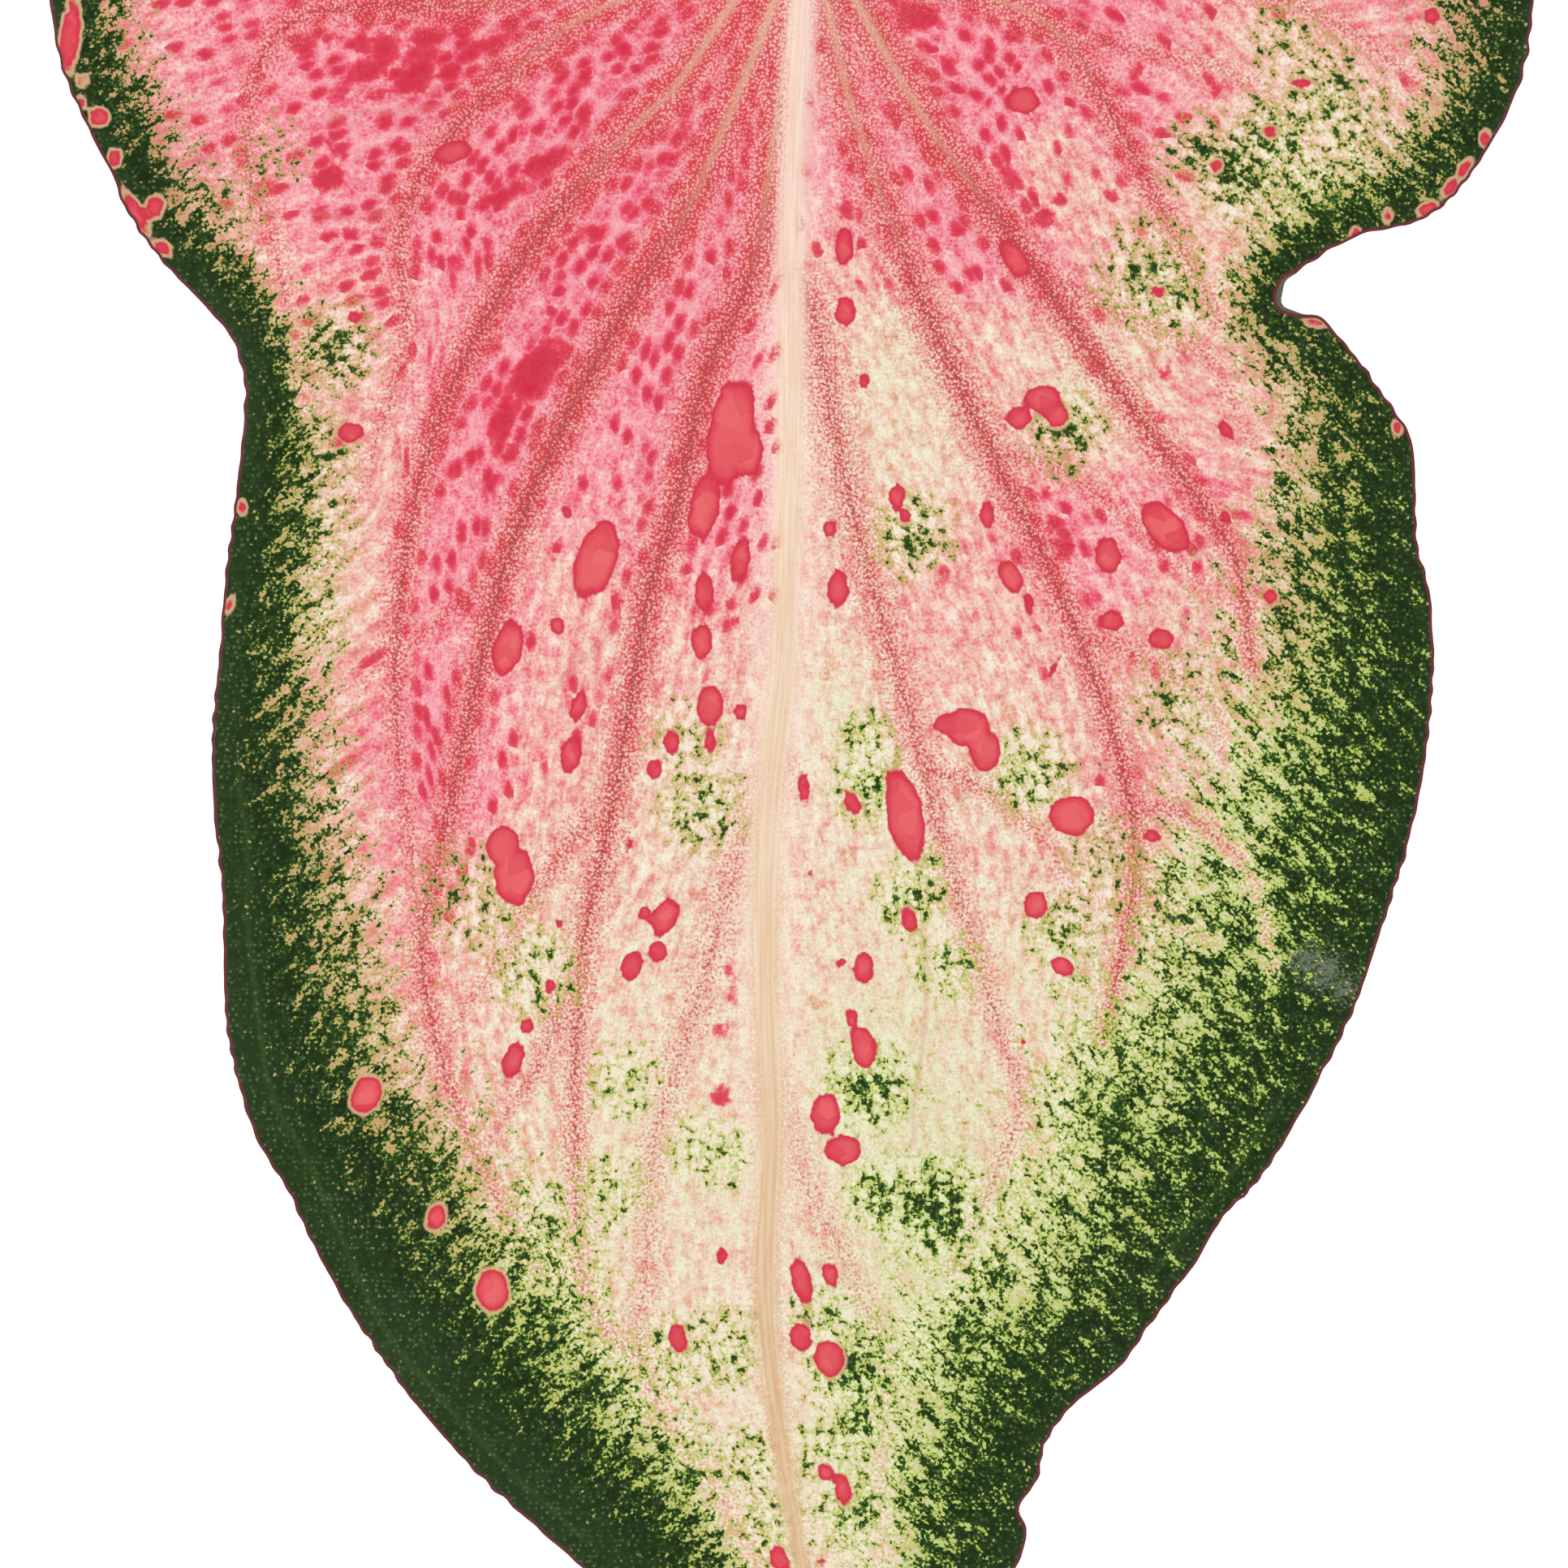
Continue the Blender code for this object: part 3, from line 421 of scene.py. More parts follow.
# How pink the ground is, from 0, greenish cream, to 1, crimson
PINK_PLACES = [
    (-75.6, -14, 7, 0.6), (-65.6, -24, 8, 0.72), (-68.6, -38, 6, 0.48), (-58.6, -14, 8, 0.85),
    (-55.6, -28, 8, 0.78), (-58, -40, 7, 0.6), (-60, -51, 6, 0.42), (-54, -57, 6, 0.55),
    (-59, -69, 7, 0.36), (-52, -70, 6, 0.52), (-53, -85, 7, 0.32), (-57, -99, 7, 0.52), (-55, -112, 7, 0.5),
    (-56, -124, 7, 0.42), (-52, -134, 6, 0.36), (-45, -127, 6, 0.58), (-46, -141, 6, 0.48),
    (-41, -151, 6, 0.44), (-44, -15, 8, 0.95), (-42, -34, 7, 0.8), (-43.5, -48, 4, 0.55),
    (-38.6, -60, 5, 0.98), (-41, -71, 5, 0.9), (-44.6, -81, 5, 0.95), (-46.4, -95, 5, 0.95),
    (-44.8, -105, 5, 0.9), (-46.6, -117, 5, 0.74), (-34.6, -51, 5, 0.95), (-28.6, -39, 7, 0.92),
    (-22.6, -28, 8, 0.93), (-18.6, -16, 8, 0.98), (-29, -22, 8, 0.96), (-28.6, -57, 6, 0.8),
    (-34, -77.5, 4, 0.45), (-28.5, -69, 5, 0.62), (-25, -65, 5, 0.75), (-38, -85, 5, 0.7),
    (-31, -89, 6, 0.48), (-32.5, -99, 6, 0.55), (-28, -110, 6, 0.44), (-17, -48, 6, 0.78),
    (-19, -61, 5, 0.66), (-12.6, -64, 5, 0.82), (-20.5, -71, 5, 0.62), (-17, -77, 5, 0.64),
    (-20.5, -85, 6, 0.52), (-22.5, -95, 5, 0.52), (-16.5, -96, 5, 0.42), (-13.5, -105, 5, 0.24),
    (-20.5, -109, 5, 0.32), (-26.5, -119, 6, 0.36), (-36.5, -124, 6, 0.22), (-28.5, -129, 6, 0.28),
    (-8.6, -34, 6, 0.84), (-7.5, -49, 5, 0.72), (-8.5, -71, 5, 0.74), (-7.5, -85, 5, 0.52),
    (-8.5, -98, 6, 0.42), (-8.5, -110, 6, 0.36), (-9.5, -124, 6, 0.3), (-14, -134, 6, 0.24),
    (-8.5, -144, 6, 0.28), (-13, -153, 6, 0.14), (-20.5, -149, 6, 0.14), (-33, -139, 6, 0.32),
    (-38, -133, 5, 0.3), (-33, -154, 6, 0.24), (-24.5, -159, 7, 0.22), (-15, -160, 6, 0.22),
    (-20, -175, 7, 0.26), (-11, -170, 7, 0.26), (-13, -181, 7, 0.22), (-8, -190, 6, 0.26),
    (-3, -196, 6, 0.28), (-0.5, -179, 5, 0.32), (4.5, -16, 6, 0.5), (7, -38, 5, 0.5), (5.5, -50, 5, 0.38),
    (7.5, -60, 5, 0.28), (12, -52, 4, 0.16), (8, -70, 5, 0.3), (9.5, -80, 5, 0.36), (6.5, -95, 5, 0.14),
    (1.5, -104, 5, 0.22), (1.5, -115, 5, 0.3), (1.5, -126, 5, 0.26), (11, -119, 5, 0.2), (13, -15, 7, 0.9),
    (11.5, -27, 6, 0.76), (16, -33, 6, 0.78), (23, -15, 7, 0.84), (26.5, -39, 5, 0.86),
    (21.5, -39, 5, 0.72), (31.5, -44, 5, 0.7), (17.5, -47, 4, 0.5), (14.5, -57, 5, 0.18),
    (18.5, -65, 5, 0.2), (21.5, -55, 4, 0.6), (24.5, -51, 4, 0.3), (31.5, -51, 5, 0.28), (35, -57, 5, 0.24),
    (40, -64, 5, 0.36), (29.5, -65, 5, 0.55), (25.5, -73, 5, 0.66), (31.5, -77, 5, 0.72),
    (36, -73, 5, 0.67), (42, -71, 5, 0.66), (19.5, -73, 5, 0.34), (14.5, -79, 5, 0.42),
    (18.5, -85, 5, 0.62), (23.5, -85, 4, 0.3), (29.5, -85, 5, 0.62), (15.5, -94, 5, 0.55),
    (21.5, -94, 5, 0.3), (26.5, -91, 5, 0.4), (31.5, -99, 5, 0.34), (35.5, -93, 5, 0.5),
    (39.5, -87, 5, 0.58), (43.5, -79, 5, 0.6), (49.5, -71, 5, 0.66), (53.5, -79, 5, 0.54),
    (56.5, -89, 6, 0.42), (46.5, -85, 4, 0.32), (41.5, -94, 4, 0.42), (39.5, -104, 5, 0.62),
    (44, -103, 4, 0.5), (49.5, -99, 5, 0.26), (26.5, -104, 5, 0.16), (21.5, -109, 5, 0.36),
    (17.5, -124, 5, 0.3), (27.5, -114, 5, 0.36), (34.5, -118, 5, 0.4), (40, -122, 5, 0.36),
    (21.5, -129, 5, 0.2), (30.5, -129, 6, 0.2), (14.5, -134, 6, 0.1), (24.5, -139, 4, 0.36),
    (26.5, -149, 5, 0.24), (19.5, -144, 6, 0.08), (7.5, -144, 5, 0.1), (11.5, -159, 8, 0.04),
    (18.5, -159, 7, 0.08), (1.5, -159, 5, 0.3), (6.5, -184, 7, 0.06), (31.5, -15, 7, 0.8),
    (34.5, -22, 4, 0.6), (41.5, -25, 5, 0.78), (39.5, -14, 6, 0.82), (31.5, -27, 4, 0.3),
    (33.5, -35, 4, 0.28), (41.5, -37, 5, 0.5), (46.5, -29, 5, 0.52), (46.5, -14, 6, 0.52),
    (51.5, -19, 5, 0.5), (56.5, -15, 5, 0.37), (62, -13, 5, 0.47), (71.5, -15, 6, 0.6),
    (75.5, -21, 5, 0.45), (69.5, -25, 5, 0.3), (61.5, -21, 4, 0.28), (57, -30, 5, 0.3),
    (51.5, -33, 5, 0.38), (45.5, -43, 5, 0.32), (41.5, -46, 4, 0.36), (51.5, -49, 5, 0.46),
    (54.5, -59, 5, 0.48), (61.5, -59, 5, 0.42), (59.5, -74, 6, 0.4), (0, -215, 10, 0.24),
    (66, -75, 5, 0.28), (68, -90, 6, 0.2), (60, -104, 6, 0.16), (68, -108, 6, 0.16), (54, -112, 5, 0.14),
    (62, -120, 6, 0.12), (50, -120, 4, 0.2), (54, -132, 6, 0.12), (44, -138, 6, 0.12), (60, -140, 6, 0.16),
    (38, -150, 6, 0.1), (46, -156, 6, 0.14), (32, -164, 6, 0.1), (36, -174, 6, 0.16), (24, -178, 6, 0.1),
    (20, -194, 7, 0.12), (-66, -60, 5, 0.45), (-63.5, -80, 5, 0.42), (-64, -100, 6, 0.5),
    (-63, -120, 6, 0.5), (-60, -140, 6, 0.46), (-40, 20, 20, 0.82), (40, 20, 20, 0.78), (-62, 36, 14, 0.55),
    (62, 36, 14, 0.48), (-30, 38, 12, 0.62), (30, 38, 12, 0.6), (-12, 18, 9, 0.8), (12, 18, 9, 0.8),
]

# How wide the green is at places along the edge: x, y, solid for so far, then speckled for so far
GREEN_EDGE = [
    (-92, -9, 3.8, 11), (-88, -24, 4.2, 11.2), (-81, -38, 4, 11), (-70, -51, 3.8, 9.5),
    (-69, -66, 4.6, 11.5), (-71, -84, 5, 13.5), (-72, -100, 5.8, 16), (-71.5, -116, 7.2, 18.5),
    (-70.5, -130, 8.6, 22), (-67, -149, 10.2, 25), (-57, -168, 11, 27), (-42, -188, 11.5, 26),
    (-28, -201, 10, 22), (-10, -218, 8, 16), (4.9, -240, 7, 11), (14, -219, 5, 14.5), (27, -202, 6, 21.5),
    (31, -187, 5, 23), (45, -170, 4.2, 24), (59, -150, 5.5, 29), (69, -131, 6, 34), (76, -109, 5.5, 30),
    (78, -89, 5.5, 28), (76, -69, 6.6, 30.5), (70, -55, 4.2, 24), (61.5, -47.5, 1.8, 7.5),
    (59, -44, 1, 5.5), (59.5, -42.5, 1, 6), (68, -38.5, 2.8, 11), (79, -34.5, 3.2, 13.5),
    (87, -24, 3.4, 14), (90.4, -9, 3.6, 15), (89, 17, 5, 15), (69, 55.5, 5, 15), (43.5, 67, 5, 13),
    (16.5, 40, 4, 9), (0, 26, 3, 7), (-17, 41, 4, 9), (-45.5, 65.6, 5, 13), (-71, 54, 5, 14),
    (-89.5, 21, 5, 13),
]
GREEN_EDGE_REACH = 11.0
COVER_RANGE = (-1.3, 1.8)
# The tan line along each vein through the green: its reach and strength, and where it starts and is full
TAN_LINE_REACH = 1.0
TAN_LINE = 0.8
TAN_LINE_START = 4.0
TAN_LINE_FULL = 9.0
# The green's streaks run in from both edges and up towards the stalk, at this angle to the midrib
STREAK_TURN = math.radians(47)
TIP_X = 4.9

# Green flecks: clusters of them away from the edge, and denser places in its speckled part. Each place
# spreads by a factor, is lowered by a base, and drops off below a foot
FLECK_SPREAD = 1.3
FLECK_BASE = 0.2
FLECK_FOOT = 0.12
FLECK_DROP = 1.1
# In the cream, the ground's pink up to which flecks lie, its soft step, and how far from veins they are full
CREAM_LIMIT = 0.5
CREAM_STEP = 0.35
CREAM_FROM_VEIN = 4.0
CREAM_FLECKS = 0.9
NO_FLECKS = 1.3
GREEN_FLECKS = [
    (-57.1, -52, 2.6, 0.78), (-59.1, -65, 2.6, 0.5), (-60.6, -74, 2.8, 0.6), (-61, -84, 2.6, 0.42),
    (-60.6, -107, 2.6, 0.45), (-57, -119, 2.6, 0.42), (-55.6, -137, 2.8, 0.75), (-57, -128, 2.6, 0.48),
    (-46.6, -153, 3.4, 0.8), (-33.6, -163, 2.6, 0.65), (-31, -172, 3.4, 0.75), (-24.6, -180, 3, 0.75),
    (-16, -190, 3, 0.6), (8.9, -106, 2.4, 0.62), (8.2, -100, 1.8, 0.5), (13.9, -75, 2.4, 0.66),
    (13.4, -120, 2.2, 0.6), (15, -116, 1.8, 0.5), (28.4, -104.5, 2.6, 0.55), (17.9, -128, 2.2, 0.5),
    (16.9, -158, 2.8, 1), (9.9, -156, 2, 0.8), (8.4, -143, 2.6, 0.75), (32.4, -123, 2.4, 0.5),
    (-12.1, -108.5, 2.8, 0.46), (-14, -100, 2.6, 0.36), (-40.6, -119, 3.6, 0.42), (-32.6, -129, 3, 0.38),
    (42.9, -43, 3.2, 0.6), (45.5, -46, 2.6, 0.55), (32.4, -62.5, 2.4, 0.7), (2.9, -171, 2.2, 0.45),
    (6.9, -177.5, 2.8, 0.85), (7.4, -184, 2.2, 0.66), (3.4, -187.5, 2, 0.5), (6.4, -195, 2.4, 0.62),
    (-21.6, -142, 2.6, 0.34), (-23.4, -156, 2.6, 0.38), (-9.6, -151.5, 2.2, 0.38), (-12.6, -150, 2.2, 0.34),
    (-16.6, -175.5, 2.4, 0.4), (-9.6, -175, 3, 0.42), (-31.1, -162, 4, 0.4), (-5.6, -189, 2.4, 0.42),
    (-2.6, -197, 2.8, 0.46), (54, -30, 3, 0.85), (49, -28, 2.4, 0.7), (58, -26, 2.6, 0.75),
    (62.5, -33, 3.4, 0.6), (65, -20, 3, 0.6), (68, -24, 2.6, 0.5), (60, -14, 2.4, 0.5), (46, -95, 3, 0.4),
    (46.5, -122, 3, 0.5), (38, -115, 3, 0.36), (40, -139, 3.6, 0.62), (38.5, -147, 3.4, 0.8),
    (30.5, -158, 3, 0.45), (34, -145, 3, 0.45), (19.4, -174, 2.6, 0.8), (23, -166, 2.4, 0.6),
    (-65, -28, 2.4, 0.4), (-70, -33, 2.4, 0.5), (-58, 42, 3, 0.5), (-72, 18, 3, 0.5), (-44, 54, 2.6, 0.5),
    (-24, 36, 2.4, 0.4), (56, 40, 3, 0.5), (72, 14, 3, 0.5), (42, 54, 2.6, 0.5), (24, 32, 2.4, 0.4),
]

# A spot's outline: how many sides, how unevenly they turn, and the shares of its oval and flat-sided parts
SPOT_SIDES = 6
SIDE_SWING = 0.3
OVAL_SHARE = 0.35
FLAT_SHARE = 0.72
FAR_OUTSIDE = -9.0

# Blotches where the green is missing and the red shows: x, y, half width, half length, lean to the right
BLOTCHES = [
    (-25.1, -78, 2.6, 5.2, 20), (-36, -88.9, 1.9, 3.7, 15), (-36.6, -113.2, 2.2, 2.6, 0),
    (-35.2, -117, 2.6, 3.6, 0), (-8.6, -62.5, 2.9, 7, 10), (-6.5, -64.5, 2, 3.5, 0),
    (-11.8, -71.5, 1.9, 4.4, 10), (-7.4, -78, 1.2, 3.2, 8), (-11.8, -82, 1.2, 2.8, 0),
    (-12.1, -88, 1.4, 2.3, 0), (-11.1, -96, 1.7, 2.8, 0), (-11.1, -100.5, 0.8, 1.5, 0),
    (12.9, -109.5, 2.3, 6.2, -12), (20.5, -98.6, 3, 2.4, 0), (22.8, -101.5, 2, 2.6, 0),
    (18, -98.3, 1.6, 1.4, 0), (33.4, -109.5, 3, 2.5, 0), (44.9, -74, 2.3, 3.9, -42),
    (26.9, -60.5, 1.6, 1.5, 0), (29.9, -58.2, 2.4, 1.8, 0), (31.6, -60.2, 1.5, 1.6, 0),
    (26.4, -41, 1.4, 2.9, -35), (27.4, -21.5, 2.2, 1.7, 0), (7.8, -138, 1.6, 2.8, -12),
    (6.4, -134.5, 0.8, 1.6, -12), (3.1, -146.2, 1.9, 2.7, 0), (5.3, -150.6, 2.4, 1.9, 0),
    (5.4, -39.5, 1.2, 2.5, 0), (5.6, -47.5, 1.3, 2, 0), (7.9, -56, 0.7, 1.2, 0), (11.9, -70.2, 1.1, 1.8, 0),
    (12.9, -72.8, 0.9, 0.9, 0), (3.6, -74.3, 0.9, 1.4, 0), (4.6, -81.5, 1.4, 2.4, 0),
    (22.9, -72.5, 1, 1.8, 0), (25.9, -80, 1.4, 2.4, -25), (28.2, -83.5, 0.7, 1.5, 0),
    (29.4, -86.5, 0.6, 0.6, 0), (30.9, -91.5, 0.6, 0.9, 0), (31.9, -90, 0.5, 0.7, 0),
    (6.4, -108, 1, 1.7, -25), (0.4, -106, 0.8, 2.2, 0), (37.9, -77.5, 1.7, 2.4, -10),
    (38.4, -85.5, 1.7, 1.3, 0), (44.4, -87.7, 1.7, 1.4, 0), (52.4, -73, 0.7, 1.3, -25),
    (57.9, -82.5, 1, 0.9, 0), (43.4, -112, 0.8, 1.5, -70), (28.9, -120.5, 1.6, 1.8, 0),
    (32.2, -128, 1.2, 1.6, -60), (13.4, -122.3, 1.1, 1.6, -20), (7.8, -128.2, 1.3, 2.2, 0),
    (5, -127.7, 0.7, 0.7, 0), (1.4, -116.5, 0.5, 0.9, 0), (43.9, -45, 1, 0.8, 0),
    (52.4, -62, 0.8, 1.5, -35), (-42.8, -27.8, 1.4, 2.6, 75), (-54.9, -48, 0.9, 0.9, 0),
    (-55.4, -62.3, 1.3, 1.7, 80), (-28.8, -72.1, 0.8, 1, 0), (-29.9, -86.2, 1, 1.2, 0),
    (-27.3, -96, 1, 2.2, 15), (-28.2, -102, 1.3, 2.6, 12), (-29.7, -122.8, 0.5, 0.9, 0),
    (-30.8, -130.5, 0.8, 1.1, 10), (-33.6, -135.5, 0.9, 1.1, 0), (-35.4, -139.7, 1.3, 2.5, 20),
    (-15.9, -100.5, 1.1, 1.6, 0), (-17.9, -103.8, 1, 1.5, 10), (-21.2, -113.2, 0.6, 1, 0),
    (-7.4, -96.7, 0.9, 1.2, 0), (-19.1, -121.5, 1, 1, 0), (-16.6, -122, 1.6, 2.5, 30),
    (-17.5, -126.2, 1.2, 1.5, 0), (-20.8, -128, 1.4, 2, 15), (-9.7, -163.7, 0.8, 1.2, 0),
    (-15.1, -173.8, 1.2, 1.9, -10), (0.1, -166.6, 1.3, 3.1, -15), (3.7, -166, 1.1, 1.6, -15),
    (0, -173.6, 1.4, 1.9, -20), (3.6, -176.3, 1.9, 2.4, -15), (3.1, -190.2, 1, 1.3, -20),
    (5.3, -192.5, 1.1, 2.1, -15), (-3, -186.9, 0.4, 0.6, 0), (-2.5, -189.5, 0.35, 0.6, 0),
    (-1.7, -191.6, 0.35, 0.8, 0), (-2.6, -201, 1.2, 2, -25), (2.7, -201.5, 0.6, 0.7, 0),
    (28.2, -148, 0.5, 0.9, 0), (27.3, -137.3, 0.5, 0.5, 0), (61.7, -19.3, 0.7, 1.5, -80),
    (57.9, -25.3, 0.7, 1, -80), (51.1, -29.5, 0.8, 0.9, 0), (77.8, -11, 1, 1.2, 0),
    (72.3, -35.5, 0.6, 0.7, 0), (68.4, -37.7, 0.5, 0.6, 0), (84.4, -26, 0.6, 0.9, 0),
    (81.9, -29.7, 0.6, 1.2, 35), (80.1, -32.1, 0.7, 1.1, 45), (77.4, -34.8, 0.8, 1.2, 60),
    (63.4, -48.7, 0.4, 1, -80), (73.6, -61.6, 0.5, 0.7, 0), (-53.4, -143.9, 1.8, 2.5, 25),
    (-44.8, -159, 1.2, 1.7, 20), (-37.9, -168, 2.1, 2.7, 0), (-89.8, -13.5, 1.2, 4.3, 6),
    (-88.3, -19.1, 0.7, 0.7, 0), (-88.6, -21.7, 0.5, 0.6, 0), (-86.3, -23.5, 1.2, 1.2, 0),
    (-84.4, -28.5, 0.8, 1, 0), (-81.9, -35.2, 0.8, 2.7, -28), (-79.6, -34.5, 1.1, 1.5, 30),
    (-78.6, -39.5, 0.7, 1.1, -50), (-68.7, -71.5, 0.5, 0.7, 0), (-70.4, -83.5, 0.4, 0.8, 20),
    (-52, 14, 1.6, 2.4, 60), (-38, 30, 1.2, 2, 30), (-64, 26, 1.4, 1.6, 0), (-30, 12, 1, 1.8, 60),
    (-70, 8, 1, 1.3, 0), (-47, 44, 1.3, 1.9, 20), (-22, 28, 0.9, 1.4, 10), (-80, 24, 0.8, 1.1, 0),
    (-17, 9, 0.9, 1.2, 50), (36, 16, 1.5, 2.3, -40), (52, 30, 1.3, 1.7, -30), (30, 36, 1, 1.8, -20),
    (62, 12, 1.3, 1.5, 0), (46, 48, 1, 1.4, 0), (20, 24, 0.9, 1.5, -30), (76, 22, 0.8, 1, 0),
    (21, 7, 0.9, 1.4, -60),
]

# Softer crimson flushes, which melt into the pink round them, in the same order of numbers
FLUSHES = [
    (-49.1, -9.4, 0.8, 2.2, 85), (-53.5, -11.2, 1.5, 1.5, 0), (-61.2, -14.7, 1.3, 1.7, 80),
    (-58.3, -13.6, 0.7, 0.9, 80), (-53.9, -14.5, 1.3, 1.3, 0), (-51.1, -15.1, 1.7, 2, 20),
    (-45.9, -13.8, 1.5, 2.6, 80), (-41.5, -12.3, 1.7, 2, 40), (-40, -15.3, 1.1, 3.2, 62),
    (-37.1, -14.2, 1.1, 1.3, 60), (-35.6, -12.1, 1.3, 1.5, 40), (-46.3, -16.2, 1.3, 2.2, 80),
    (-53.7, -18, 1.5, 2.6, 85), (-47.6, -18.8, 2, 2.7, 70), (-43.2, -18, 1.3, 1.7, 60),
    (-56.6, -20.6, 0.9, 1.5, 80), (-51.8, -20.8, 0.7, 1.3, 80), (-58.1, -31.1, 1.7, 2.2, 80),
    (-41.9, -33.7, 1.1, 1.3, 20), (-37.1, -33.5, 1.1, 3.8, 65), (-57.7, -26.5, 0.8, 0.8, 0),
    (-56.4, -28, 0.8, 0.8, 0), (-65.8, -32.2, 1.1, 1.7, 80), (-52, -38.7, 0.9, 0.9, 0),
    (-55.5, -37.9, 0.9, 0.9, 0), (-47.2, -40.5, 0.5, 1.2, 0), (-42.4, -41.4, 0.9, 1.1, 40),
    (-29.6, -17.5, 0.9, 1.2, 20), (-34.6, -21.5, 1, 1.2, 30), (-26.6, -23.5, 1, 1.4, 30),
    (-21.6, -15.5, 1.2, 1.4, 30), (-26.6, -19, 1, 1.2, 30), (-31.3, -29.2, 1.3, 3.5, 65),
    (-25.6, -37.7, 1.2, 1.2, 0), (-28.1, -39, 0.9, 1.3, 30), (-7.1, -32, 0.6, 1, 0),
    (-14.1, -25, 0.9, 1.2, 20), (-18.6, -34, 0.9, 1.3, 20), (-32.6, -55, 2.5, 5, 40),
    (-36.6, -61, 1.5, 3.5, 20), (-37.8, -51.5, 0.9, 1.2, 20), (-30.6, -47.5, 0.7, 0.8, 0),
    (-28.6, -52, 0.8, 1, 20), (-35.6, -65, 1, 1.4, 20), (-37.9, -68.5, 1, 1.2, 20), (14.4, -11, 3, 2, 0),
    (11.4, -23, 0.9, 1.3, -20), (15.9, -28, 1, 1.8, -30), (19.4, -37.3, 0.9, 0.9, 0),
    (25.4, -30.5, 0.8, 2.5, -15), (31.9, -33.7, 0.8, 0.8, 0), (29.9, -36, 1.3, 1.3, 0),
    (26.4, -13.5, 1.2, 1.2, 0), (14.4, -17, 1, 1.2, -20), (18.4, -17.5, 1, 1.2, -20),
    (38.4, -33, 0.8, 0.8, 0), (36.9, -48, 0.8, 1.2, -20), (36.4, -54, 1, 1.2, 0),
    (44.4, -60.5, 0.7, 0.7, 0), (46.9, -52.5, 0.6, 0.8, -20), (44.9, -55, 0.6, 0.7, 0),
    (41.4, -18, 1, 1, 0), (51.4, -20, 0.8, 1, -40), (5.7, -35, 0.9, 1.8, 0), (30.4, -70, 0.9, 0.9, 0),
    (31.4, -73.5, 1.1, 1.2, 0), (32.4, -76.5, 1.2, 1.8, -20), (-9.6, -135.8, 0.8, 0.8, 0),
    (-9.9, -144, 1.2, 1.3, 0), (-8.6, -128.5, 0.5, 0.8, 0), (-8.3, -131.5, 0.4, 0.8, 0),
    (-8.3, -85.5, 0.6, 0.6, 0),
]

# An old scrape on the skin: x, y, its reach, and how strong it is
SCRAPE = [(62.0, -127.4, 1.8, 1.0), (64.5, -128.6, 2.2, 1.1), (67.0, -131.0, 1.6, 1.0)]

# Where the rim is rolled over, in the right notch, in the same order of numbers
ROLLED = [(59.6, -45.4, 2.0, 1.0)]


def bell(x, y, reach):
    """A bell round a place, at each point: exp(-distance**2 / (2 * reach**2))."""
    return np.exp(-((net[:, 0] - x) ** 2 + (net[:, 1] - y) ** 2) / (2 * reach**2))


def patches(places):
    """The amount at each point: a mean of the given places, each weighing by a bell of its own reach."""
    total = np.zeros(len(net))
    weight = np.zeros(len(net))
    for x, y, reach, amount in places:
        near = bell(x, y, reach) + FAINTEST
        total += near * amount
        weight += near
    return total / weight


def heaps(places):
    """The amount at each point: the bells of the given places, the highest winning."""
    return np.maximum.reduce([bell(x, y, reach) * amount for x, y, reach, amount in places])


def depth_in(spots):
    """How far each point lies inside the nearest of the given spots, in mm, and below 0 outside them.
    A spot is half way from an oval to an uneven hexagon, whose sides' directions depend on its place."""
    deepest = np.full(len(net), FAR_OUTSIDE)
    for x, y, half_width, half_length, lean in spots:
        turn = math.radians(lean)
        along = ((net[:, 0] - x) * math.sin(turn) + (net[:, 1] - y) * math.cos(turn)) / half_length
        across = ((net[:, 0] - x) * math.cos(turn) - (net[:, 1] - y) * math.sin(turn)) / half_width
        spin = (7.3 * x + 3.1 * y) % 1
        sides = [math.tau / SPOT_SIDES * (k + spin) + SIDE_SWING * math.sin(5 * k + 9 * spin)
                 for k in range(SPOT_SIDES)]
        flat_sided = np.max([along * math.sin(a) + across * math.cos(a) for a in sides], axis=0)
        reach = OVAL_SHARE * np.hypot(along, across) + FLAT_SHARE * flat_sided
        deepest = np.maximum(deepest, (1 - reach) * min(half_width, half_length))
    return deepest


def green_cover():
    """How green each point is: 1 and more where the rim's green is solid, 0 where its last flecks end.
    The veins keep a tan line through it."""
    solid = patches([(x, y, GREEN_EDGE_REACH, full) for x, y, full, last in GREEN_EDGE])
    speckled = patches([(x, y, GREEN_EDGE_REACH, last) for x, y, full, last in GREEN_EDGE])
    cover = np.clip((speckled - edge_gap) / (speckled - solid), *COVER_RANGE)
    fade_in = np.clip((edge_gap - TAN_LINE_START) / (TAN_LINE_FULL - TAN_LINE_START), 0, 1)
    return cover - TAN_LINE * np.exp(-((to_vein / TAN_LINE_REACH) ** 2)) * fade_in


def fleck_cover():
    """How thick the green flecks lie away from the rim: most in the given clusters, few in the cream
    between the veins, and none along the veins or in the deep pink."""
    cream = np.clip((CREAM_LIMIT - patches(PINK_PLACES)) / CREAM_STEP, 0, 1)
    cream *= np.clip(to_vein / CREAM_FROM_VEIN, 0, 1)
    heap = heaps([(x, y, FLECK_SPREAD * reach, amount) for x, y, reach, amount in GREEN_FLECKS])
    clusters = heap - FLECK_BASE - FLECK_DROP * np.clip(1 - heap / FLECK_FOOT, 0, 1)
    return np.maximum(clusters, CREAM_FLECKS * cream - NO_FLECKS)


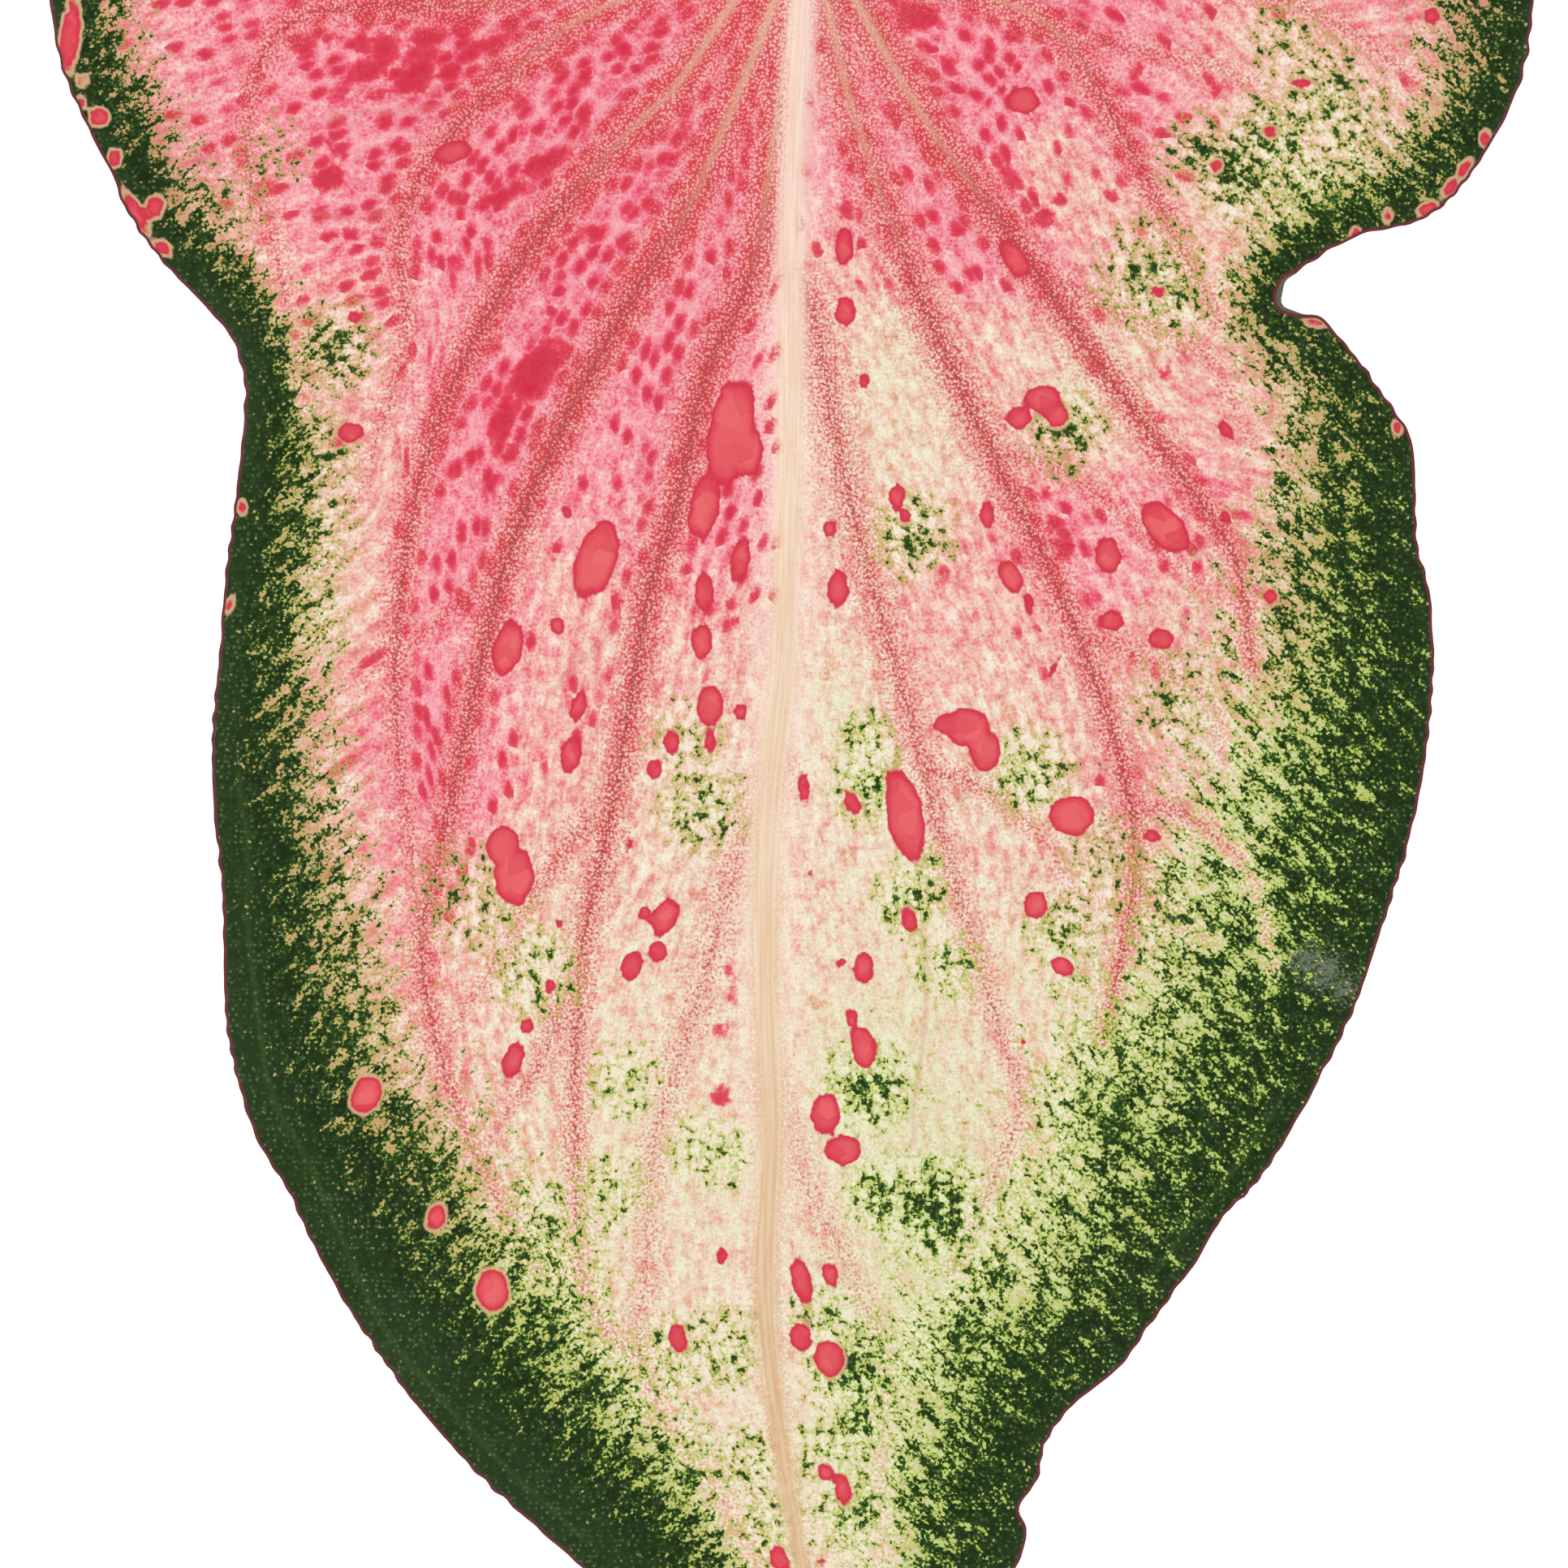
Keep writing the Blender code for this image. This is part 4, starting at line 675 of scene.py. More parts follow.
def give(mesh, name, values):
    """Puts one number, or one vector, a point on the mesh as an attribute, the same above and below."""
    values = np.concatenate([values, values]).astype(np.float32)
    kind = "FLOAT" if values.ndim == 1 else "FLOAT_VECTOR"
    field = "value" if values.ndim == 1 else "vector"
    mesh.attributes.new(name, kind, "POINT").data.foreach_set(field, values.ravel())


def vein_marks(mesh):
    """Gives the mesh the colour along the veins: wide bands of grains and thin cores, both fading out
    along the vein, by a bell across it."""
    band = np.zeros(len(net))
    core = np.zeros(len(net))
    for number, (gap, run, side) in enumerate(vein_reach[1:]):
        share = run / run.max()
        if number < len(primaries):
            wide, narrowing, thin, thinning, faint = MAIN_BAND
            at_start, at_end = VEIN_RED[number]
            strong = at_start + (at_end - at_start) * share**2
        else:
            wide, narrowing, thin, thinning, faint = SIDE_BAND
            strong = SIDE_RED[0] - SIDE_RED[1] * share
        across = gap / (wide - narrowing * share)
        band = np.maximum(band, strong * np.exp(-(across**BAND_FALL)))
        inner = np.clip(CORE_EDGE - gap / (thin - thinning * share), 0, 1)
        core = np.maximum(core, faint * strong * inner)
    give(mesh, "vein_band", band)
    give(mesh, "vein_core", core)
    give(mesh, "from_stalk", np.linalg.norm(net, axis=1))


def midrib_marks(mesh):
    """Gives the mesh the midrib's own band, its paler flanks, and coordinates along and across it."""
    gap, run, side = vein_reach[0]
    half = np.interp(run, *MIDRIB_HALF)
    pale = np.interp(run, *MIDRIB_PALE)
    give(mesh, "midrib_in", 1 - gap / half)
    give(mesh, "midrib_pale", pale * np.exp(-((gap / MIDRIB_PALE_REACH) ** 4)))
    give(mesh, "midrib_way", np.column_stack([run, gap * side, np.zeros(len(net))]))


def flow_marks(mesh):
    """Gives each corner of a face coordinates that run with the leaf's growth: the distance along the
    two main veins beside it, blended by nearness, and half the difference of its distances to them."""
    lines = [midrib] + primaries
    for number, joins_at in LEAVE_MIDRIB.items():
        lines[number] = np.vstack([midrib[midrib[:, 1] > joins_at], primaries[number - 1]])
    reach = [nearest(net, lines[n]) if n in LEAVE_MIDRIB else vein_reach[n] for n in AROUND]
    gap, run, side = np.array(reach).transpose(1, 0, 2)
    rank = np.arange(len(AROUND))[:, None]
    right = side[0] > 0
    choice = np.where(right, gap - TIE_BREAK * rank + OUT_OF_REACH * (rank > RIGHT_VEINS),
                      gap + TIE_BREAK * rank + OUT_OF_REACH * (rank <= RIGHT_VEINS))
    closest = choice.argmin(0)
    cell = (closest - (side[closest, np.arange(len(net))] < 0)) % len(AROUND)
    corners = np.zeros(len(mesh.loops), np.int32)
    mesh.loops.foreach_get("vertex_index", corners)
    corners = corners.reshape(-1, 3) % len(net)
    furthest = gap.min(0)[corners].argmax(1)
    face_cell = cell[corners[np.arange(len(corners)), furthest]][:, None]
    after = (face_cell + 1) % len(AROUND)
    near, far = gap[face_cell, corners], gap[after, corners]
    weight, weight_after = 1 / (near + BLEND_FROM) ** 2, 1 / (far + BLEND_FROM) ** 2
    along = (run[face_cell, corners] * weight + run[after, corners] * weight_after) / (weight + weight_after)
    across = 0.5 * (near - far) + SPACE_SHIFT * face_cell
    for straight, (x, y) in STRAIGHT_GROWTH.items():
        here = face_cell == straight
        along = np.where(here, net[corners, 0] * x + net[corners, 1] * y, along)
        across = np.where(here, net[corners, 1] * x - net[corners, 0] * y + SPACE_SHIFT * straight, across)
    way = np.stack([along, across, 0 * along], -1).astype(np.float32)
    mesh.attributes.new("flow_way", "FLOAT_VECTOR", "CORNER").data.foreach_set("vector", way.ravel())


def edge_marks(mesh):
    """Gives the mesh its distance from the edge, the fine lines near it, and coordinates across and
    along the green's streaks, which are the same on both sides of the tip."""
    give(mesh, "edge_gap", edge_gap)
    outward = np.abs(net[:, 0] - TIP_X)
    across = outward * math.cos(STREAK_TURN) + net[:, 1] * math.sin(STREAK_TURN)
    along = net[:, 1] * math.cos(STREAK_TURN) - outward * math.sin(STREAK_TURN)
    give(mesh, "streak_way", np.column_stack([across, along, np.zeros(len(net))]))
    for name, lines, reach in [("thread", threads, THREAD_REACH), ("edge_vein", edge_veins, EDGE_VEIN_REACH)]:
        near = np.min([nearest(net, line)[0] for line in lines], axis=0)
        give(mesh, name, np.clip(1 - near / reach, 0, 1))


def linear(colour):
    """An sRGB colour such as #f4e9dc as the four linear numbers that a node takes."""
    parts = [int(colour[i:i + 2], 16) / 255 for i in (1, 3, 5)]
    return [p / 12.92 if p <= 0.04045 else ((p + 0.055) / 1.055) ** 2.4 for p in parts] + [1.0]


def feed(made, inputs):
    """Links or sets inputs of a node. A colour is a hex text."""
    for name, value in inputs.items():
        if isinstance(value, bpy.types.NodeSocket):
            made.id_data.links.new(value, made.inputs[name])
        elif isinstance(value, str):
            made.inputs[name].default_value = linear(value)
        else:
            made.inputs[name].default_value = value


def node(tree, kind, inputs, out=0, stops=None, **settings):
    """Adds a node with its settings and inputs, and gives one of its outputs. Stops are a ramp's places
    and colours."""
    made = tree.nodes.new("ShaderNode" + kind)
    for name, value in settings.items():
        setattr(made, name, value)
    if stops:
        ramp = made.color_ramp
        while len(ramp.elements) < len(stops):
            ramp.elements.new(0.5)
        for element, (place, colour) in zip(ramp.elements, stops):
            element.position = place
            element.color = linear(colour)
    feed(made, inputs)
    return made.outputs[out]


def new_material(name):
    """A new material, its node tree, and the shader in it."""
    made = bpy.data.materials.new(name)
    made.use_nodes = True
    return made, made.node_tree, made.node_tree.nodes["Principled BSDF"]


def put(name, data):
    """A new object of the scene, made of the given mesh, lamp or camera."""
    made = bpy.data.objects.new(name, data)
    bpy.context.scene.collection.objects.link(made)
    return made


# Settings that many nodes share: a soft step, a mix of two colours, a flat cell pattern
SOFT = {"interpolation_type": "SMOOTHSTEP"}
TINT = {"data_type": "RGBA"}
FLAT = {"voronoi_dimensions": "2D"}
TIMES = {"operation": "MULTIPLY"}
PLUS = {"operation": "ADD"}
TIMES_PLUS = {"operation": "MULTIPLY_ADD"}


def living_leaf(name, under):
    """The leaf's own skin: satin and strongly coloured above, duller and greyer below. Coordinates are
    in millimetres, so noise or cells of a scale s have features about 1/s mm across."""
    made, tree, shader = new_material(name)
    mark = {name: node(tree, "Attribute", {}, 2, attribute_name=name) for name in (
        "pink", "midrib_pale", "flush", "vein_band", "from_stalk", "vein_core", "thread", "green", "flecks",
        "edge_vein", "scrape", "blotch", "midrib_in", "edge_gap", "rolled")}
    way = {name: node(tree, "Attribute", {}, 1, attribute_name=name) for name in (
        "flow_way", "streak_way", "midrib_way")}
    pink, cover, band = mark["pink"], mark["green"], mark["vein_band"]

    # Patterns that many colours share: grains of 0.4 mm, clouds of 1.4 mm, dots 0.4 mm apart, streaks
    # 4 mm long and 1.4 mm wide that follow the growth, and a net of cells of 1.6 mm
    place = node(tree, "TexCoord", {}, 3)
    flat = node(tree, "VectorMath", {0: place, 1: (1 / MM, 1 / MM, 0)}, **TIMES)
    grain = node(tree, "TexNoise", {"Vector": flat, "Scale": 2.4, "Detail": 2, "Roughness": 0.6})
    cloud = node(tree, "TexNoise", {"Vector": flat, "Scale": 0.7, "Detail": 3, "Roughness": 0.6})
    dots = node(tree, "TexVoronoi", {"Vector": flat, "Scale": 2.3}, **FLAT)
    flow_long = node(tree, "VectorMath", {0: way["flow_way"], 1: (0.26, 0.72, 1)}, **TIMES)
    flow = node(tree, "TexNoise", {"Vector": flow_long, "Scale": 1.0, "Detail": 4, "Roughness": 0.62})
    streak_long = node(tree, "VectorMath", {0: way["streak_way"], 1: (0.66, 0.27, 1)}, **TIMES)
    streak = node(tree, "TexNoise", {"Vector": streak_long, "Scale": 1.0, "Detail": 4, "Roughness": 0.74})
    sway = node(tree, "CombineXYZ", {0: cloud, 1: flow})
    bent = node(tree, "VectorMath", {0: sway, 1: (2.8, 2.8, 0), 2: flat}, **TIMES_PLUS)
    net_gap = node(tree, "TexVoronoi", {"Vector": bent, "Scale": 0.62}, feature="DISTANCE_TO_EDGE", **FLAT)
    net_line = node(tree, "MapRange", {0: net_gap, 1: 0.16, 2: 0.02}, **SOFT)
    net_wide = node(tree, "MapRange", {0: net_gap, 1: 0.24, 2: 0.02, 3: -0.2, 4: 0.35}, **SOFT)
    grain_off, flow_off, cloud_off, streak_off = [
        node(tree, "Math", {0: noise, 1: -0.5}, **PLUS) for noise in (grain, flow, cloud, streak)]

    # Ground: from greenish cream to rose by its place, and at each place from a pale to a deep tone, in
    # the streaks of the growth, with grains, and with a faint net
    zone = pink
    for part, weight in [(flow_off, 0.55), (cloud_off, 0.7)]:
        zone = node(tree, "Math", {0: part, 1: weight, 2: zone}, **TIMES_PLUS)
    pale = node(tree, "ValToRGB", {"Fac": zone}, stops=[
        (0.0, "#ece8c8"), (0.25, "#f3ead8"), (0.45, "#f5d9cc"), (0.7, "#f7bdc4"), (1.0, "#f3a0b6")])
    deep = node(tree, "ValToRGB", {"Fac": zone}, stops=[
        (0.0, "#c9c88a"), (0.22, "#e4b898"), (0.45, "#e2867a"), (0.7, "#e4556f"), (1.0, "#df3a5c")])
    depth = node(tree, "Math", {0: pink, 1: 0.22, 2: 0.42}, **TIMES_PLUS)
    streaky = node(tree, "MapRange", {0: pink, 1: 0.45, 2: 0.85, 3: 2.3, 4: 1.0}, **SOFT)
    for part, weight in [(flow_off, streaky), (cloud_off, 1.4), (grain_off, 1.7)]:
        depth = node(tree, "Math", {0: part, 1: weight, 2: depth}, **TIMES_PLUS)
    colour = node(tree, "Mix", {0: depth, 6: pale, 7: deep}, 2, **TINT)
    faint_net = node(tree, "Math", {0: net_line, 1: 0.22}, **TIMES)
    net_tint = node(tree, "ValToRGB", {"Fac": pink}, stops=[(0.3, "#b9c184"), (0.6, "#f6cfc4")])
    # The coats over the ground, in their order: how much of it each one hides, and its colour
    coats = [(faint_net, net_tint)]

    # Paler grains along both sides of the midrib
    grains = node(tree, "Math", {0: grain_off, 1: -2.2, 2: 0.75}, use_clamp=True, **TIMES_PLUS)
    midrib_pale = node(tree, "Math", {0: mark["midrib_pale"], 1: grains}, **TIMES)
    coats += [(midrib_pale, "#f4e0d2")]

    # Crimson flushes: soft cells of 1.8 by 3 mm in the deep pink, in rows along the growth, and the
    # larger ones by their places
    flush_way = node(tree, "VectorMath", {0: way["flow_way"], 1: (0.33, 0.56, 1)}, **TIMES)
    flush_cell = node(tree, "TexVoronoi", {"Vector": flush_way, "Scale": 1.0, "Randomness": 0.75}, **FLAT)
    flush_tone = node(tree, "SeparateColor", {0: flush_cell.node.outputs["Color"]}, 0)
    chosen = node(tree, "Math", {0: pink, 1: 1.5, 2: flush_tone}, **TIMES_PLUS)
    chosen = node(tree, "MapRange", {0: chosen, 1: 1.42, 2: 1.8}, **SOFT)
    flush_cell = node(tree, "Math", {0: cloud_off, 1: 0.9, 2: flush_cell}, **TIMES_PLUS)
    pale_way = node(tree, "MapRange", {0: flush_cell, 1: 0.45, 2: 0.8, 4: 0.5}, **SOFT)
    pale_here = node(tree, "MapRange", {0: pink, 1: 0.5, 2: 0.85}, **SOFT)
    pale_way = node(tree, "Math", {0: pale_way, 1: pale_here}, **TIMES)
    flush = node(tree, "MapRange", {0: flush_cell, 1: 0.72, 2: 0.0}, **SOFT)
    flush = node(tree, "Math", {0: flush, 1: chosen}, **TIMES)
    placed = node(tree, "Math", {0: cloud_off, 1: 2.2, 2: mark["flush"]}, **TIMES_PLUS)
    placed = node(tree, "MapRange", {0: placed, 1: -0.9, 2: 0.9}, **SOFT)
    flush = node(tree, "Math", {0: flush, 1: placed}, operation="MAXIMUM")
    flush_colour = node(tree, "ValToRGB", {"Fac": flush}, stops=[
        (0.2, "#e85a76"), (0.6, "#dd3c56"), (1.0, "#cb2840")])
    flush = node(tree, "Math", {0: grain_off, 1: 0.5, 2: flush}, **TIMES_PLUS)
    flush_on = node(tree, "MapRange", {0: flush, 1: 0.04, 2: 0.7, 4: 0.94}, **SOFT)
    coats += [(pale_way, "#f6bcc0"), (flush_on, flush_colour)]

    # Vein bands: crimson with tan dots, and a darker line in the middle, which is a wider tan rib near
    # the stalk
    grainy = node(tree, "Math", {0: grain_off, 1: 1.6, 2: band}, **TIMES_PLUS)
    red_on = node(tree, "MapRange", {0: grainy, 1: 0.0, 2: 0.8, 4: 0.95}, **SOFT)
    on_band = node(tree, "MapRange", {0: band, 1: 0.02, 2: 0.2}, **SOFT)
    red_on = node(tree, "Math", {0: red_on, 1: on_band}, **TIMES)
    between_dots = node(tree, "MapRange", {0: dots, 1: 0.2, 2: 0.5}, **SOFT)
    red_grains = node(tree, "Math", {0: red_on, 1: between_dots}, **TIMES)
    dot_on = node(tree, "MapRange", {0: dots, 1: 0.44, 2: 0.18, 4: 0.68}, **SOFT)
    tan_dots = node(tree, "Math", {0: red_on, 1: dot_on}, **TIMES)
    from_stalk = node(tree, "Math", {0: mark["from_stalk"], 1: 0.01}, **TIMES)
    dark_on = node(tree, "MapRange", {0: grainy, 1: 0.5, 2: 1.0, 4: 0.5}, **SOFT)
    away = node(tree, "MapRange", {0: from_stalk, 1: 0.25, 2: 0.6}, **SOFT)
    dark_on = node(tree, "Math", {0: dark_on, 1: away}, **TIMES)
    core = mark["vein_core"]
    for part, weight in [(grain_off, 1.5), (dot_on, -0.5)]:
        core = node(tree, "Math", {0: part, 1: weight, 2: core}, **TIMES_PLUS)
    core = node(tree, "MapRange", {0: core, 1: 0.1, 2: 0.85, 4: 0.72}, **SOFT)
    core_colour = node(tree, "ValToRGB", {"Fac": from_stalk}, stops=[
        (0.12, "#dab698"), (0.28, "#d29a82"), (0.45, "#b84448"), (1.0, "#a8463f")])
    thread = node(tree, "Math", {0: mark["thread"], 1: 0.4}, **TIMES)
    coats += [(tan_dots, "#f1b99c"), (red_grains, "#cf4450"), (dark_on, "#b83c44"), (core, core_colour),
              (thread, "#d07a72")]

    # Green: clumps, and streaks 3.7 mm long and 1.5 mm wide that run in from the edge, with paler dots
    # 0.7 mm apart in them, and flecks on the net between the veins, all with yellow-green fringes
    hole_cell = node(tree, "TexVoronoi", {"Vector": flat, "Scale": 1.5}, **FLAT)
    hole_tone = node(tree, "SeparateColor", {0: hole_cell.node.outputs["Color"]}, 1)
    hole = node(tree, "MapRange", {0: hole_cell, 1: 0.42, 2: 0.1, 4: 0.6}, **SOFT)
    hole_tone = node(tree, "Math", {0: hole_tone, 1: 2.0}, operation="POWER")
    hole = node(tree, "Math", {0: hole, 1: hole_tone}, **TIMES)
    edge_at, fleck_at = cover, mark["flecks"]
    for part, weight in [(streak_off, 4.2), (grain_off, 2.0), (hole, -1.0), (net_wide, 0.45)]:
        edge_at = node(tree, "Math", {0: part, 1: weight, 2: edge_at}, **TIMES_PLUS)
    for part, weight in [(cloud_off, 2.8), (flow_off, 2.2), (grain_off, 1.5), (net_wide, 0.55)]:
        fleck_at = node(tree, "Math", {0: part, 1: weight, 2: fleck_at}, **TIMES_PLUS)
    green_at = node(tree, "Math", {0: edge_at, 1: fleck_at}, operation="MAXIMUM")
    outer_colour = node(tree, "ValToRGB", {"Fac": pink}, stops=[
        (0.15, "#b6c07c"), (0.3, "#b9a966"), (0.4, "#c28f66"), (0.65, "#cf8672")])
    outer = node(tree, "MapRange", {0: cover, 1: 0.1, 2: 0.95, 4: 0.85}, **SOFT)
    off_band = node(tree, "MapRange", {0: band, 1: 0.3, 2: 0.06}, **SOFT)
    outer = node(tree, "Math", {0: outer, 1: off_band}, **TIMES)
    fringe = node(tree, "MapRange", {0: green_at, 1: -0.08, 2: 0.42, 4: 0.8}, **SOFT)
    fringe_colour = node(tree, "ValToRGB", {"Fac": pink}, stops=[
        (0.22, "#b2c450"), (0.4, "#b8b05a"), (0.65, "#c79a6c")])
    green = node(tree, "ValToRGB", {"Fac": green_at}, stops=[
        (0.5, "#80962f"), (0.6, "#476a28"), (0.75, "#274116"), (1.1, "#182a0d")])
    green_on = node(tree, "MapRange", {0: green_at, 1: 0.44, 2: 0.56}, **SOFT)
    margin = node(tree, "MapRange", {0: cover, 1: 1.0, 2: 1.5, 4: 0.6}, **SOFT)
    mottle = node(tree, "MapRange", {0: cloud, 1: 0.4, 2: 0.7, 4: 0.3}, **SOFT)
    edge_vein = node(tree, "Math", {0: mark["edge_vein"], 1: 0.15}, **TIMES)
    for share, tone in [(margin, "#263c1c"), (mottle, "#365020"), (hole, "#6d8350"), (edge_vein, "#5a7a3c")]:
        green = node(tree, "Mix", {0: share, 6: green, 7: tone}, 2, **TINT)
    coats += [(outer, outer_colour), (fringe, fringe_colour), (green_on, green)]

    # An old scrape in the green, healed to a grey, powdery patch
    scrape = mark["scrape"]
    for part, weight in [(grain_off, 3.0), (cloud_off, 1.2)]:
        scrape = node(tree, "Math", {0: part, 1: weight, 2: scrape}, **TIMES_PLUS)
    scrape = node(tree, "MapRange", {0: scrape, 1: 0.5, 2: 1.1, 4: 0.6}, **SOFT)
    coats += [(scrape, "#848c78")]

    # Blotches: where the green is missing. Ragged and many-sided, darker at the rim and in facets of
    # 2 mm inside them, and ringed with tan where they lie on green
    blotch = node(tree, "Math", {0: cloud_off, 1: 0.8, 2: mark["blotch"]}, **TIMES_PLUS)
    ring = node(tree, "MapRange", {0: blotch, 1: -0.5, 2: -0.2, 4: 0.75}, **SOFT)
    ring = node(tree, "Math", {0: ring, 1: green_on}, **TIMES)
    blotch_colour = node(tree, "ValToRGB", {"Fac": blotch}, stops=[
        (0.0, "#c62b42"), (0.28, "#d23d50"), (0.5, "#df545c"), (1.0, "#e6686a")])
    facet = node(tree, "TexVoronoi", {"Vector": flat, "Scale": 0.5}, 1, **FLAT)
    facet = node(tree, "SeparateColor", {0: facet}, 0)
    facet = node(tree, "Math", {0: grain, 1: 0.6, 2: facet}, **TIMES_PLUS)
    facet = node(tree, "MapRange", {0: facet, 1: 0.3, 2: 1.3, 3: 0.6, 4: 0.0})
    blotch_colour = node(tree, "Mix", {0: facet, 6: blotch_colour, 7: "#cf3549"}, 2, **TINT)
    blotch_on = node(tree, "MapRange", {0: blotch, 1: -0.12, 2: 0.12}, **SOFT)
    coats += [(ring, "#e3b98e"), (blotch_on, blotch_colour)]

    # Midrib: a smooth band, pinkish white near the stalk and tan further on, with fine lines 0.4 mm
    # apart along it
    midrib_long = node(tree, "VectorMath", {0: way["midrib_way"], 1: (0.07, 2.4, 1)}, **TIMES)
    lines = node(tree, "TexNoise", {"Vector": midrib_long, "Scale": 1.0, "Detail": 3, "Roughness": 0.6})
    midrib_run = node(tree, "SeparateXYZ", {0: way["midrib_way"]}, 0)
    midrib_run = node(tree, "Math", {0: midrib_run, 1: 0.005}, **TIMES)
    midrib_light = node(tree, "ValToRGB", {"Fac": midrib_run}, stops=[
        (0.1, "#f8e1d4"), (0.3, "#f1dcc6"), (0.6, "#ead3b6"), (0.85, "#e0c39c")])
    midrib_dark = node(tree, "ValToRGB", {"Fac": midrib_run}, stops=[
        (0.1, "#efcebb"), (0.3, "#e8c8a8"), (0.6, "#e2c09b"), (0.85, "#d6ad84")])
    line_on = node(tree, "MapRange", {0: lines, 1: 0.35, 2: 0.65}, **SOFT)
    midrib_colour = node(tree, "Mix", {0: line_on, 6: midrib_light, 7: midrib_dark}, 2, **TINT)
    midrib_in = node(tree, "Math", {0: grain_off, 1: 2.4, 2: mark["midrib_in"]}, **TIMES_PLUS)
    midrib_on = node(tree, "MapRange", {0: midrib_in, 1: -0.6, 2: 0.6, 4: 0.9}, **SOFT)
    coats += [(midrib_on, midrib_colour)]

    # Rim: a maroon line 0.4 mm wide. In the right notch it is rolled over, and shows its grey-green back
    to_edge = node(tree, "Math", {0: mark["rolled"], 1: -0.9, 2: mark["edge_gap"]}, **TIMES_PLUS)
    rim = node(tree, "MapRange", {0: to_edge, 1: 0.5, 2: 0.25}, **SOFT)
    rim_back = node(tree, "MapRange", {0: to_edge, 1: -0.05, 2: -0.2}, **SOFT)
    coats += [(rim, "#6a2f34"), (rim_back, "#5b614e")]

    # The underside's wax greys every colour, and its raised veins are paler
    if under:
        raised = node(tree, "MapRange", {0: band, 1: 0.45, 2: 0.9, 4: 0.5}, **SOFT)
        coats += [(0.38, "#b4b8a0"), (raised, "#d9a796")]
    for share, tone in coats:
        colour = node(tree, "Mix", {0: share, 6: colour, 7: tone}, 2, **TINT)

    # Relief of the skin's own grain, 0.06 mm deep
    bump = node(tree, "Bump", {"Height": grain, "Strength": 0.25, "Distance": 0.06 * MM})
    feed(shader, {"Base Color": colour, "Normal": bump, "Roughness": 0.65 if under else 0.48,
                  "Specular IOR Level": 0.1})
    return made


blade_skin = blade_mesh()
give(blade_skin, "pink", patches(PINK_PLACES))
give(blade_skin, "green", green_cover())
give(blade_skin, "flecks", fleck_cover())
give(blade_skin, "blotch", depth_in(BLOTCHES))
give(blade_skin, "flush", depth_in(FLUSHES))
give(blade_skin, "scrape", heaps(SCRAPE))
give(blade_skin, "rolled", heaps(ROLLED))
vein_marks(blade_skin)
midrib_marks(blade_skin)
flow_marks(blade_skin)
edge_marks(blade_skin)
blade_skin.materials.append(living_leaf("leaf_upper_skin", under=False))
blade_skin.materials.append(living_leaf("leaf_lower_skin", under=True))
blade = put("leaf_blade_skin", blade_skin)
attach(blade, "root")
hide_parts("leaf_blade")


# Leaf stalk: one round, fleshy stem that grew with the blade. It joins the blade's underside where the
# veins meet, thickens towards its foot, and ends there in a plain knife cut. Its skin is smooth and
# waxy, with short brown flecks drawn out along it.

STALK_SIDES = 64
CAD_STALK_SIDES = 14
STALK_RADIUS_TOP = 2.25
STALK_RADIUS_CUT = 3.5
STALK_START = -3.0
STALK_STEP = 0.8
STALK_ROUTE = [(0.0, -3.0), (0.2, 12.0), (1.0, 30.0), (2.6, 55.0), (4.8, 78.0), (7.4, 98.0)]
# Each ring of the blunt upper end: how far it lies behind the stalk's start, its radius, and how far its
# top lies below the stalk's top
STALK_END_RINGS = [(3.25, 0.05, 0.9), (3.2, 0.6, 0.6), (2.8, 1.2, 0.4), (2.0, 1.75, 0.2), (0.9, 2.1, 0.05)]
STALK_THICKENING = 0.8
STALK_LENGTH = 102.0
STALK_SHARP_ANGLE = math.radians(50)
STALK_RIBS = 17
STALK_RIB_HEIGHT = 0.05
# The cut face's rings: share of the stalk's radius, and how far each stands out from the cut's plane
CUT_RINGS = [(0.97, 0.06), (0.9, 0.1), (0.75, 0.04), (0.55, -0.03), (0.3, 0.02), (0.02, 0.05)]


